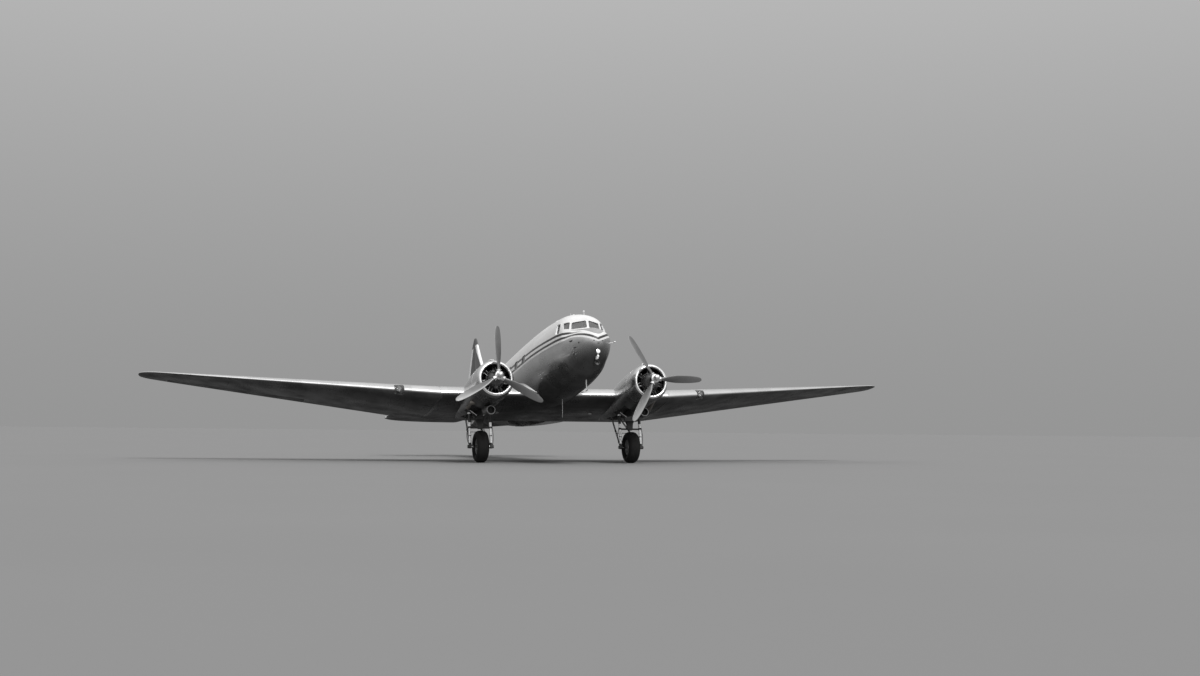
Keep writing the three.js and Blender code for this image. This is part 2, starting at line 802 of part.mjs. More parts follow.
function makeNacelles() {
  const shape = skin(nacelleTable.map(nacelleRing));
  const wellBox = join(
    box([engineOffset - well.halfWidth, engineOffset + well.halfWidth], [well.front, well.waist], [-1500, well.roof]),
    box([engineOffset - well.halfNarrow, engineOffset + well.halfNarrow], [well.waist - 10, well.rear],
      [-1500, well.roof]));
  const nacelle = cut(shape, wingSeat(), wellBox);

  const cowlSolid = turned([
    [cowl.mouthRadius, cowl.lip + 90],
    [cowl.mouthRadius + 30, cowl.lip + 20],
    [cowl.lipRadius - 25, cowl.lip],
    [cowl.lipRadius + 30, cowl.lip + 50],
    [665, cowl.lip + 210],
    [cowl.outerRadius, cowl.lip + 520],
    [cowl.outerRadius - 10, cowl.tail - seat],
    [cowl.outerRadius - 40, cowl.tail - seat],
    [cowl.outerRadius - 45, cowl.lip + 480],
    [cowl.mouthRadius + 135, cowl.lip + 200],
    [cowl.mouthRadius + 30, cowl.lip + 110],
    [cowl.mouthRadius, cowl.lip + 90],
  ], 28);

  for (const side of sideTable) {
    const unit = new THREE.Group();
    unit.position.set(side.sign * engineOffset, 0, 0);
    craft.add(unit);

    const scoop = skin([
      scoopRing(carburettorScoop.front, carburettorScoop.halfWidth, 600, carburettorScoop.top - 10),
      scoopRing(carburettorScoop.front + 400, carburettorScoop.halfWidth, 600, carburettorScoop.top),
      scoopRing(carburettorScoop.rear - 400, carburettorScoop.halfWidth * 0.8, 500, carburettorScoop.top - 60),
      scoopRing(carburettorScoop.rear, 50, 450, 620),
    ]);
    const mouth = box(
      [engineOffset - 95, engineOffset + 95], [carburettorScoop.front - 10, carburettorScoop.front + 160],
      [cowl.outerRadius + 22, carburettorScoop.top - 28]);
    const cowlPlace = turned([[0, 3000], [cowl.outerRadius + seat + 4, 3000],
      [cowl.outerRadius + seat + 4, cowl.tail], [0, cowl.tail]], 28).translate(engineOffset, 0, 0);
    const scoopBody = cut(scoop, mouth, cowlPlace, nacelleSeat());
    add(`carburettor_scoop_${side.name}`, forSide(scoopBody, side), 'metal');

    const oilDuct = skin(oilTable.map(nacelleRing));
    const oilMouth = bar(
      [engineOffset, oilScoop.front - 20, oilScoop.height], [engineOffset, oilScoop.front + 160, oilScoop.height + 10],
      oilScoop.mouthRadius, 16);
    add(`oil_cooler_scoop_${side.name}`, forSide(cut(oilDuct, oilMouth, nacelleSeat()), side), 'metal');

    const pipeX = engineOffset + 500;
    const pipe = bar([pipeX, 4100, -430], [pipeX + 60, 4880, -640], 75, 12);
    const bore = bar([pipeX + 46, 4698, -591], [pipeX + 61, 4893, -643.5], 62, 12);
    add(`exhaust_pipe_${side.name}`, forSide(cut(pipe, bore, nacelleSeat()), side), 'steel');

    add(`nacelle_${side.name}`, forSide(nacelle, side), 'metal');
    add(`cowl_${side.name}`, cowlSolid, 'steel', unit);
    makeEngine(side, unit);
    makePropeller(side, unit);
  }
}

function nacelleSeat() {
  return skin(nacelleTable.map(([station, halfWidth, top, bottom, wide]) => nacelleRing(
    [station + (station < 4000 ? -seat : 0), halfWidth + seat, top + seat, bottom - seat, wide])));
}

// The engine: two rows of seven cylinders round a crankcase, with the reduction gear in front.
const engine = { caseFront: 2640, firewall: 3860, cylinderRadius: 105, reach: 600 };
const cylinderRows = [
  { station: 3200, turn: 0 },
  { station: 3440, turn: Math.PI / 7 },
];

function makeEngine(side, unit) {
  const crankcase = turned([
    [0, engine.caseFront + 6],
    [115, engine.caseFront + 6],
    [130, 2720],
    [225, 2830],
    [285, 2960],
    [285, 3470],
    [330, 3500],
    [330, engine.firewall - seat],
    [0, engine.firewall - seat],
  ], 16);
  const cylinders = cylinderRows.flatMap(({ station, turn }) => Array.from({ length: 7 }, (_, i) => {
    const angle = turn + (2 * Math.PI * i) / 7;
    const out = [Math.sin(angle), 0, Math.cos(angle)];
    const at = (radius) => [out[0] * radius, station, out[2] * radius];
    return bar(at(200), at(engine.reach), engine.cylinderRadius, 8, engine.cylinderRadius * 0.86);
  }));
  const bore = turned([[0, 2500], [socketRadius(shaftRadius, 16), 2500],
    [socketRadius(shaftRadius, 16), 2761], [0, 2761]], 16);
  add(`engine_${side.name}`, cut(join(crankcase, ...cylinders), bore), 'grey', unit);
}

// Propeller blade: columns are distance out, chord, thickness, blade angle.
const bladeTable = [
  [90, 120, 110, 60],
  [260, 130, 100, 52],
  [480, 215, 60, 42],
  [850, 280, 36, 32],
  [1250, 262, 22, 24],
  [1600, 195, 13, 19],
  [1710, 130, 9, 18],
  [bladeRadius, 60, 6, 18],
];

function bladeRing([out, chord, thick, angle]) {
  const turn = THREE.MathUtils.degToRad(angle);
  const outline = [
    [0.5, 0],
    [0.36, 0.42],
    [0.1, 0.5],
    [-0.25, 0.34],
    [-0.5, 0.04],
    [-0.25, -0.34],
    [0.1, -0.5],
    [0.36, -0.42],
  ];
  return outline.map(([along, across]) => {
    const c = along * chord;
    const t = across * thick;
    return [-c * Math.cos(turn) - t * Math.sin(turn), -c * Math.sin(turn) + t * Math.cos(turn), out];
  });
}

const firstBlade = { starboard: 0, port: -30 };

function makePropeller(side, unit) {
  const dome = turned([
    [0, 2150],
    [60, 2160],
    [95, 2200],
    [105, 2260],
    [105, 2370],
    [150, 2390],
    [150, 2550],
    [95, 2570],
    [95, engine.caseFront],
    [shaftRadius, engine.caseFront],
    [shaftRadius, 2760],
    [0, 2760],
  ], 16);
  const blade = skin(bladeTable.map(bladeRing));
  const blades = [0, 120, 240].map((degrees) => {
    const angle = THREE.MathUtils.degToRad(degrees + firstBlade[side.name]);
    return blade.clone().rotateY(angle).translate(0, hubStation, 0);
  });
  add(`propeller_${side.name}`, join(dome, ...blades), 'metal', unit);
}

// Main landing gear

function restRadius(tyre) {
  return tyre.radius * Math.cos(Math.PI / tyre.sides);
}

const gear = { legOffset: 380, legRadius: 50, pistonRadius: 38, axleRadius: 42, tubeRadius: 45, legTop: -400 };

function makeWheel(name, tyre, axle, axleRadius, parent) {
  const half = tyre.width / 2;
  const bead = half * 0.62;
  const tall = tyre.radius - tyre.rimRadius;
  const wheel = new THREE.Group();
  wheel.position.set(...axle);
  wheel.rotation.x = parkingAngle + Math.PI / tyre.sides;
  parent.add(wheel);
  const rubber = turnedAcross([
    [tyre.rimRadius, -bead],
    [tyre.rimRadius + 0.4 * tall, -half],
    [tyre.rimRadius + 0.78 * tall, -half * 0.84],
    [tyre.radius, -half * 0.3],
    [tyre.radius, half * 0.3],
    [tyre.rimRadius + 0.78 * tall, half * 0.84],
    [tyre.rimRadius + 0.4 * tall, half],
    [tyre.rimRadius, bead],
    [tyre.rimRadius, -bead],
  ], tyre.sides);
  const rim = tyre.rimRadius - seat;
  const bore = socketRadius(axleRadius, tyre.sides);
  const hub = 0.36 * tyre.rimRadius + 10;
  const rimBody = turnedAcross([
    [bore, -bead + 5],
    [hub, -bead + 5],
    [hub + 10, -bead * 0.45],
    [rim * 0.86, -bead * 0.45],
    [rim, -bead],
    [rim, bead],
    [rim * 0.86, bead * 0.45],
    [hub + 10, bead * 0.45],
    [hub, bead - 5],
    [bore, bead - 5],
    [bore, -bead + 5],
  ], tyre.sides);
  add(`${name}_tyre`, rubber, 'rubber', wheel);
  add(`${name}_wheel`, rimBody, 'metal', wheel);
}

function makeMainGear() {
  for (const side of sideTable) {
    const unit = new THREE.Group();
    unit.position.set(side.sign * engineOffset, 0, 0);
    craft.add(unit);
    const { station, height } = mainAxle;
    const top = station + 20;
    const legs = [-1, 1].flatMap((hand) => {
      const x = hand * gear.legOffset;
      return [
        bar([x, top, gear.legTop], [x, station + 8, -1240], gear.legRadius, 10),
        bar([x, station + 8, -1235], [x, station, height], gear.pistonRadius, 10),
        box([x - 48, x + 48], [station - 62, station + 62], [height - 62, height + 70]),
        bar([x, top, gear.legTop - 60], [0, station + 10, -1270], 26, 6),
      ];
    });
    const span = well.halfWidth - seat;
    const rest = [
      bar([-span, top, gear.legTop], [span, top, gear.legTop], gear.tubeRadius, 10),
      bar([-gear.legOffset, station + 10, -1240], [gear.legOffset, station + 10, -1240], 30, 6),
      bar([-470, station, height], [470, station, height], gear.axleRadius, 16),
    ];
    add(`main_gear_${side.name}`, join(...legs, ...rest), 'steel', unit);

    const braceTop = [0, 7080, -470];
    const lug = { station: station + 62 + seat, height: height + 30 };
    const braces = [-1, 1].flatMap((hand) => [
      bar([hand * 380, lug.station + 32, lug.height + 34], [hand * 150, braceTop[1], braceTop[2]], 30, 10),
      box([hand * 380 - 30, hand * 380 + 30], [lug.station, lug.station + 60], [lug.height - 30, lug.height + 60]),
    ]);
    const cross = well.halfNarrow - seat;
    const brace = join(
      ...braces,
      bar([-cross, braceTop[1], braceTop[2]], [cross, braceTop[1], braceTop[2]], 38, 10));
    add(`gear_brace_${side.name}`, brace, 'steel', unit);
    makeWheel(`main_${side.name}`, mainTyre, [0, station, height], gear.axleRadius, unit);
  }
}

// Tail wheel: a leg under the tail cone, a castering fork and the wheel.
// Heights follow from the parked stance, with the swivel axis upright on the ground.
const tailAxleHeight = mainAxle.height + (restRadius(tailTyre) - restRadius(mainTyre)
  + (tailAxleStation - mainAxle.station) * Math.sin(parkingAngle)) / Math.cos(parkingAngle);
const tailTrail = 150;
const tailFork = { crown: 345, boss: 395, top: 1300, axleRadius: 22 };

function tailUnit() {
  const unit = new THREE.Group();
  unit.position.set(0, tailAxleStation, tailAxleHeight);
  unit.rotation.x = parkingAngle;
  return unit;
}

// The seat of the tail wheel's leg in the hull, in the level frame.
function tailLegSeat() {
  const leg = bar([0, -tailTrail, tailFork.boss], [0, -tailTrail, tailFork.top], 75 + seat, 14);
  return leg.rotateX(parkingAngle).translate(0, tailAxleStation, tailAxleHeight);
}

function makeTailWheel() {
  const unit = tailUnit();
  craft.add(unit);
  const leg = bar([0, -tailTrail, tailFork.boss], [0, -tailTrail, tailFork.top - 1], 75, 14);
  const sleeve = bar([0, -tailTrail, tailFork.boss - 10], [0, -tailTrail, tailFork.boss + 130], socketRadius(30, 28), 28);
  add('tail_gear_leg', cut(leg, sleeve), 'steel', unit);

  const kingpin = bar([0, -tailTrail, tailFork.crown - 20], [0, -tailTrail, tailFork.boss + 129], 30, 14);
  const crown = box([-150, 150], [-tailTrail - 60, -tailTrail + 60], [tailFork.crown - 40, tailFork.crown + 20]);
  const arms = [-1, 1].map((hand) => skin([
    [hand * 118, -tailTrail - 45, tailFork.crown], [hand * 118, -45, -25],
  ].map(([x, y, z]) => [
    [x, y, z],
    [x + hand * 32, y, z],
    [x + hand * 32, y + 80, z],
    [x, y + 80, z],
  ])));
  const bosses = [-1, 1].map((hand) => bar([hand * 117, 0, 0], [hand * 152, 0, 0], 50, 12));
  const axle = bar([-151, 0, 0], [151, 0, 0], tailFork.axleRadius, 14);
  add('tail_fork', join(kingpin, crown, ...arms, ...bosses, axle), 'steel', unit);

  const spin = new THREE.Group();
  spin.rotation.x = -parkingAngle;
  unit.add(spin);
  makeWheel('tail', tailTyre, [0, 0, 0], tailFork.axleRadius, spin);
}

// Cockpit furniture: two seats and the instrument panel with its hood.
function makeCockpit() {
  const seatShape = (x) => join(
    box([x - 230, x + 230], [2020, 2480], [cockpitFloor + 330, cockpitFloor + 450]),
    box([x - 230, x + 230], [2440, 2560], [cockpitFloor + 400, cockpitFloor + 1050]),
    box([x - 170, x + 170], [2100, 2460], [cockpitFloor + seat, cockpitFloor + 340]));
  for (const side of sideTable) add(`pilot_seat_${side.name}`, seatShape(side.sign * 370), 'leather');
  const panel = join(
    box([-560, 560], [1480, 1540], [cockpitFloor + seat, 1270]),
    box([-540, 540], [1440, 1640], [1240, 1275]));
  add('instrument_panel', panel, 'dark');
}

// Lamps and masts
function makeFittings() {
  const mast = join(
    bar([0, 1570, -200], [0, 1570, -660], 20, 8),
    bar([0, 1400, -660], [0, 1700, -660], 17, 8));
  add('pitot_mast', cut(mast, hull(0, hullBreak, -seat)), 'steel');
  const lampBody = join(
    bar([0, 60, 350], [0, 260, 350], 74, 14, 84),
    bar([0, 110, 200], [0, 330, 200], 42, 12),
    box([-18, 18], [130, 300], [200, 350]));
  add('nose_lamp', cut(lampBody, hull(0, hullBreak, -seat)), 'lamp');
  const football = skin([
    [4350, 20, 30],
    [4420, 80, 70],
    [4600, 115, 100],
    [4850, 100, 90],
    [5100, 40, 40],
  ].map(([station, halfWidth, reach]) => Array.from({ length: 12 }, (_, i) => {
    const angle = (2 * Math.PI * i) / 12;
    return [halfWidth * Math.cos(angle), station, 2470 + reach * Math.sin(angle)];
  })));
  const pylon = box([-30, 30], [4520, 4820], [2200, 2460]);
  add('loop_aerial', cut(join(football, pylon), hull(hullBreak, 9350, -seat)), 'white');
}

makeHull();
makeDoor();
makeWing();
makeTail();
makeNacelles();
makeMainGear();
makeTailWheel();
makeCockpit();
makeFittings();

// Park the level aircraft: turn it about the main axle, then centre it over the origin.
const parked = new THREE.Group();
craft.position.set(0, -mainAxle.station, -mainAxle.height);
const pivot = new THREE.Group();
pivot.rotation.x = -parkingAngle;
pivot.position.z = restRadius(mainTyre);
pivot.add(craft);
parked.add(pivot);
parked.updateMatrixWorld(true);
const extent = new THREE.Box3().setFromObject(parked, true);
pivot.position.y = -(extent.min.y + extent.max.y) / 2;

export default parked;
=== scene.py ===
"""A twin-engined airliner with a tail wheel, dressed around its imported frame."""

import logging
from dataclasses import dataclass
from enum import Enum
from math import copysign, cos, pi, radians, sin, sqrt, tan
from typing import Callable, Iterable, Sequence, TypeAlias

import bmesh
import bpy
import numpy as np
from mathutils import Matrix, Vector
from mathutils.bvhtree import BVHTree


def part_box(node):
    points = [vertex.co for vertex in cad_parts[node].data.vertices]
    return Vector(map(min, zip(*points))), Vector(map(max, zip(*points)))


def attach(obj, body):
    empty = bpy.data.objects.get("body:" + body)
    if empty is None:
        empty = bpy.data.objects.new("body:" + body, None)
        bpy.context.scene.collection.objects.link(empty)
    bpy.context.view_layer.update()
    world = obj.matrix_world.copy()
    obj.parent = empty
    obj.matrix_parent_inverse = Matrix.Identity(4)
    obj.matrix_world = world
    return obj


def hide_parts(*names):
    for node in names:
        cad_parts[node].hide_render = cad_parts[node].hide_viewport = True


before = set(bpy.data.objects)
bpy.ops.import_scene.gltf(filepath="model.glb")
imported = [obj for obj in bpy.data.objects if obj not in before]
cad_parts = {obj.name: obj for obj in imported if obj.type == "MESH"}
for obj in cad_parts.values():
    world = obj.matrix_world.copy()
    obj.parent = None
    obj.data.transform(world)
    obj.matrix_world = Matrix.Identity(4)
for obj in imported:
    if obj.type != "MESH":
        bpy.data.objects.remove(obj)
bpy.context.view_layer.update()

log = logging.getLogger("airliner")

Point: TypeAlias = Sequence[float]
Points: TypeAlias = Sequence[Point]
Ring: TypeAlias = list[tuple[float, float, float]]
Material: TypeAlias = bpy.types.Material
Socket: TypeAlias = bpy.types.NodeSocket
Term: TypeAlias = "Value | float"

# Stance and driving places, in metres: x to port, station aft of the nose, height over the thrust line.
PARKING_ANGLE = radians(10.8)
MAIN_AXLE = (5.45, -1.92)
ENGINE_OFFSET = 2.82
HUB_STATION = 2.47
HULL_BREAK = 3.15
RIB_PITCH = 0.3


class Side(Enum):
    """The two sides of the aircraft, by the sign of x."""

    PORT = 1
    STARBOARD = -1

    @property
    def word(self) -> str:
        """The side's name as the frame's nodes spell it."""
        return self.name.lower()


def parked() -> Matrix:
    """Works out where the level aircraft stands from the main wheel's place in the frame.

    Returns:
        The move from the level aircraft to the parked one.
    """
    low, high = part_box("main_port_wheel")
    axle = (low + high) / 2
    station, height = MAIN_AXLE
    stand = Matrix.Translation((0, axle.y, axle.z)) @ Matrix.Rotation(-PARKING_ANGLE, 4, "X")
    return stand @ Matrix.Translation((0, -station, -height))


PARKED = parked()
LEAN = Matrix.Rotation(-PARKING_ANGLE, 4, "X")


# Curves and interpolation


def eased(keys: np.ndarray, values: np.ndarray, at: np.ndarray) -> np.ndarray:
    """Interpolates rows of values smoothly, without overshoot.

    Args:
        keys: Rising key of each row.
        values: One row of numbers for each key.
        at: The keys wanted.

    Returns:
        One row of numbers for each wanted key.
    """
    step = np.diff(keys)
    slope = np.diff(values, axis=0) / step[:, None]
    tangent = np.zeros_like(values)
    tangent[0], tangent[-1] = slope[0], slope[-1]
    before, after = slope[:-1], slope[1:]
    same = before * after > 0
    weight_a = (2 * step[1:] + step[:-1])[:, None]
    weight_b = (step[1:] + 2 * step[:-1])[:, None]
    safe_before = np.where(same, before, 1.0)
    safe_after = np.where(same, after, 1.0)
    harmonic = (weight_a + weight_b) / (weight_a / safe_before + weight_b / safe_after)
    tangent[1:-1] = np.where(same, harmonic, 0.0)
    i = np.clip(np.searchsorted(keys, at, side="right") - 1, 0, len(keys) - 2)
    t = ((at - keys[i]) / step[i])[:, None]
    h = step[i][:, None]
    return (
        (2 * t**3 - 3 * t**2 + 1) * values[i]
        + (t**3 - 2 * t**2 + t) * h * tangent[i]
        + (3 * t**2 - 2 * t**3) * values[i + 1]
        + (t**3 - t**2) * h * tangent[i + 1]
    )


def from_table(rows: Points, at: Iterable[float]) -> np.ndarray:
    """Interpolates a table whose first column is the key, and gives its other columns at some keys."""
    table = np.array(rows, float)
    return eased(table[:, 0], table[:, 1:], np.asarray(list(at), float))


def around(count: int) -> list[float]:
    """Angles of points spread evenly round a circle."""
    return [2 * pi * i / count for i in range(count)]


def spread(spans: Points) -> list[float]:
    """Even steps over spans of start, end and count, with the last end."""
    return [a + (b - a) * i / n for a, b, n in spans for i in range(n)] + [spans[-1][1]]


def ball(radius: float, reach: float) -> list[tuple[float, float]]:
    """Profile of a ball, stretched along its axis to a reach at either end."""
    return [(radius * sin(pi * k / 8), -reach * cos(pi * k / 8)) for k in range(9)]


def stub(radius: float, low: float, high: float) -> Points:
    """Profile of a plain round stub between two distances along its axis."""
    return [(0.0, low), (radius, low), (radius, high), (0.0, high)]


def on_ring(radius: float, station: float, angle: float) -> tuple[float, float, float]:
    """A point at a radius and an angle about the thrust line."""
    return (radius * cos(angle), station, radius * sin(angle))


def rounded(points: Points, steps: int = 5) -> list[tuple[float, ...]]:
    """Runs a smooth curve through a few points.

    Args:
        points: The points to pass through.
        steps: Pieces between two points.

    Returns:
        The points of the curve, ends included.
    """
    given = np.array(points, float)
    length = np.concatenate([[0], np.cumsum(np.linalg.norm(np.diff(given, axis=0), axis=1))])
    ends = np.vstack([2 * given[0] - given[1], given, 2 * given[-1] - given[-2]])
    made = []
    for i in range(len(given) - 1):
        a, b, c, d = ends[i : i + 4]
        gap = length[i + 1] - length[i]
        out = (c - a) / max(np.linalg.norm(c - b) + np.linalg.norm(b - a), 1e-9) * gap
        into = (d - b) / max(np.linalg.norm(d - c) + np.linalg.norm(c - b), 1e-9) * gap
        for k in range(steps):
            t = k / steps
            made.append(
                (2 * t**3 - 3 * t**2 + 1) * b + (t**3 - 2 * t**2 + t) * out
                + (3 * t**2 - 2 * t**3) * c + (t**3 - t**2) * into
            )
    made.append(given[-1])
    return [tuple(float(v) for v in point) for point in made]


# Meshes


class Draft:
    """Points and faces of one piece, gathered from simple forms."""

    def __init__(self) -> None:
        """Starts with nothing."""
        self.points: Ring = []
        self.faces: list[tuple[int, ...]] = []
        self.marks: list[int] = []

    def add(self, points: Iterable[Point], faces: Iterable[Sequence[int]], mark: int = 0) -> "Draft":
        """Adds points and faces.

        Args:
            points: New points.
            faces: Faces that count from the first new point.
            mark: Which of the piece's finishes the faces take.

        Returns:
            This draft.
        """
        base = len(self.points)
        self.points.extend(tuple(float(v) for v in p) for p in points)
        for face in faces:
            self.faces.append(tuple(base + i for i in face))
            self.marks.append(mark)
        return self

    def loft(self, rings: Sequence[Points], mark: int = 0, loop: bool = False) -> "Draft":
        """Skins rings of equal count.

        Args:
            rings: The rings, in order.
            mark: Finish of the faces.
            loop: Join the last ring to the first in place of closing both ends.

        Returns:
            This draft.
        """
        count, total = len(rings[0]), len(rings)
        faces: list[tuple[int, ...]] = []
        for r in range(total if loop else total - 1):
            here, there = r * count, ((r + 1) % total) * count
            for i in range(count):
                j = (i + 1) % count
                faces.append((here + i, here + j, there + j, there + i))
        if not loop:
            faces.append(tuple(range(count)))
            faces.append(tuple((total - 1) * count + i for i in range(count)))
        return self.add([p for ring in rings for p in ring], faces, mark)

    def turn(
        self, profile: Points, sides: int = 32, centre: Point = (0, 0, 0), axis: str = "Y", mark: int = 0,
        loop: bool = False,
    ) -> "Draft":
        """Turns a profile of (radius, distance along the axis).

        Args:
            profile: The pairs.
            sides: Facets round the axis.
            centre: Where the axis passes.
            axis: X, Y or Z.
            mark: Finish of the faces.
            loop: The profile closes on itself.

        Returns:
            This draft.
        """
        order = {"X": (1, 2, 0), "Y": (0, 2, 1), "Z": (0, 1, 2)}[axis]
        rings = []
        for radius, along in profile:
            ring = []
            for angle in around(sides):
                place = [0.0, 0.0, 0.0]
                place[order[0]] = centre[order[0]] + radius * cos(angle)
                place[order[1]] = centre[order[1]] + radius * sin(angle)
                place[order[2]] = centre[order[2]] + along
                ring.append(place)
            rings.append(ring)
        return self.loft(rings, mark, loop)

    def tube(
        self, path: Points, radius: float, sides: int = 12, mark: int = 0, end: float | None = None
    ) -> "Draft":
        """Runs a round tube along a path.

        Args:
            path: The points of its centre line.
            radius: Its radius, at the start.
            sides: Facets round it.
            mark: Finish of the faces.
            end: Its radius at the far end, where that differs.

        Returns:
            This draft.
        """
        line = [Vector(p) for p in path]
        heading = (line[1] - line[0]).normalized()
        across = heading.orthogonal().normalized()
        rings = []
        for i, place in enumerate(line):
            ahead = line[min(i + 1, len(line) - 1)] - line[max(i - 1, 0)]
            turn = heading.rotation_difference(ahead.normalized())
            across = turn @ across
            heading = ahead.normalized()
            other = heading.cross(across)
            share = i / (len(line) - 1)
            size = radius if end is None else radius + (end - radius) * share
            rings.append([place + across * (size * cos(a)) + other * (size * sin(a)) for a in around(sides)])
        return self.loft(rings, mark)

    def block(self, low: Point, high: Point, edge: float = 0.004, mark: int = 0) -> "Draft":
        """Adds a box with softened edges.

        Args:
            low: Lowest corner.
            high: Highest corner.
            edge: Width of the softened edge.
            mark: Finish of the faces.

        Returns:
            This draft.
        """
        rings = []
        for z, inset in ((low[2], edge), (low[2] + edge, 0), (high[2] - edge, 0), (high[2], edge)):
            x0, x1 = low[0] + inset, high[0] - inset
            y0, y1 = low[1] + inset, high[1] - inset
            e = edge
            rings.append([
                (x0 + e, y0, z), (x1 - e, y0, z), (x1, y0 + e, z), (x1, y1 - e, z),
                (x1 - e, y1, z), (x0 + e, y1, z), (x0, y1 - e, z), (x0, y0 + e, z),
            ])
        return self.loft(rings, mark)

    def join(self, other: "Draft", place: Matrix | None = None) -> "Draft":
        """Adds a copy of another draft.

        Args:
            other: What to copy.
            place: Where the copy goes.

        Returns:
            This draft.
        """
        move = place if place is not None else Matrix.Identity(4)
        base = len(self.points)
        self.points.extend(tuple(move @ Vector(p)) for p in other.points)
        self.faces.extend(tuple(base + i for i in face) for face in other.faces)
        self.marks.extend(other.marks)
        return self

    def sided(self, side: Side) -> "Draft":
        """Gives this draft for port, or its mirror image for starboard.

        Args:
            side: The side.

        Returns:
            A draft.
        """
        if side is Side.PORT:
            return self
        other = Draft()
        other.points = [(-x, y, z) for x, y, z in self.points]
        other.faces = [tuple(reversed(face)) for face in self.faces]
        other.marks = self.marks
        return other

    def mesh(self, name: str) -> bpy.types.Mesh:
        """Makes the welded mesh, with its faces turned outwards.

        Args:
            name: Name of the mesh.

        Returns:
            The mesh.
        """
        made = bpy.data.meshes.new(name)
        made.from_pydata(self.points, [], self.faces)
        made.polygons.foreach_set("material_index", self.marks)
        work = bmesh.new()
        work.from_mesh(made)
        bmesh.ops.remove_doubles(work, verts=work.verts, dist=2e-5)
        bmesh.ops.dissolve_degenerate(work, edges=work.edges, dist=1e-6)
        bmesh.ops.recalc_face_normals(work, faces=work.faces)
        work.to_mesh(made)
        work.free()
        return made


@dataclass
class Piece:
    """One visible piece while it is being made."""

    name: str
    draft: Draft
    finishes: Sequence[Material]
    body: str = "airframe"
    slot: str = "skin"
    stands_for: Sequence[str] = ()
    origin: Point = (0.0, 0.0, 0.0)
    sharp: float = 32.0

    def build(self, *cutters: tuple[Draft, Material]) -> bpy.types.Object:
        """Makes the object, cuts it, and lets it ride on its body.

        Args:
            cutters: Drafts that cut this piece, each with the finish of the cut.

        Returns:
            The object.
        """
        made = bpy.data.objects.new(self.name, self._leaning(self.draft, self.name))
        bpy.context.scene.collection.objects.link(made)
        for finish in self.finishes:
            made.data.materials.append(finish)
        made.matrix_world = Matrix.Translation(PARKED @ Vector(self.origin))
        for draft, finish in cutters:
            self._cut(made, draft, finish)
        made.data.shade_smooth()
        made.data.set_sharp_from_angle(angle=radians(self.sharp))
        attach(made, self.body)
        if self.stands_for:
            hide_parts(*self.stands_for)
        log.info("%s: %d faces", self.name, len(made.data.polygons))
        return made

    @staticmethod
    def _leaning(draft: Draft, name: str) -> bpy.types.Mesh:
        """Makes a mesh, nose up as the aircraft stands.

        Args:
            draft: What it is made from.
            name: Its name.

        Returns:
            The mesh.
        """
        mesh = draft.mesh(name)
        mesh.transform(LEAN)
        return mesh

    @classmethod
    def _cut(cls, made: bpy.types.Object, draft: Draft, finish: Material) -> None:
        """Cuts an object and applies the result.

        Args:
            made: The object.
            draft: What cuts it.
            finish: Finish of the cut.
        """
        tool = bpy.data.objects.new("cutter", cls._leaning(draft, "cutter"))
        bpy.context.scene.collection.objects.link(tool)
        tool.data.materials.append(finish)
        tool.matrix_world = made.matrix_world
        bpy.context.view_layer.update()
        work = made.modifiers.new("cut", "BOOLEAN")
        work.operation = "DIFFERENCE"
        work.object = tool
        work.solver = "EXACT"
        work.material_mode = "TRANSFER"
        ready = made.evaluated_get(bpy.context.evaluated_depsgraph_get())
        fresh = bpy.data.meshes.new_from_object(ready)
        made.modifiers.clear()
        old = made.data
        made.data = fresh
        bpy.data.meshes.remove(old)
        bpy.data.objects.remove(tool)


def side_piece(
    side: Side, name: str, draft: Draft, finishes: Sequence[Material], *cutters: tuple[Draft, Material],
    node: str = "", body: str = "", **more: object,
) -> bpy.types.Object:
    """Builds a piece of one side, whose name, node and body end in the side's word.

    Args:
        side: The side.
        name: The piece's name without its side.
        draft: Its points and faces.
        finishes: Its finishes.
        cutters: Drafts that cut it, each with the finish of the cut.
        node: The node that it stands for, if any, without its side.
        body: The body that it rides on, without its side, where that isn't the airframe.
        more: Other fields of the piece.

    Returns:
        The object.
    """
    end = f"_{side.word}"
    piece = Piece(name + end, draft, finishes, stands_for=[node + end] if node else [], **more)
    if body:
        piece.body = body + end
    return piece.build(*cutters)


# Shader graphs


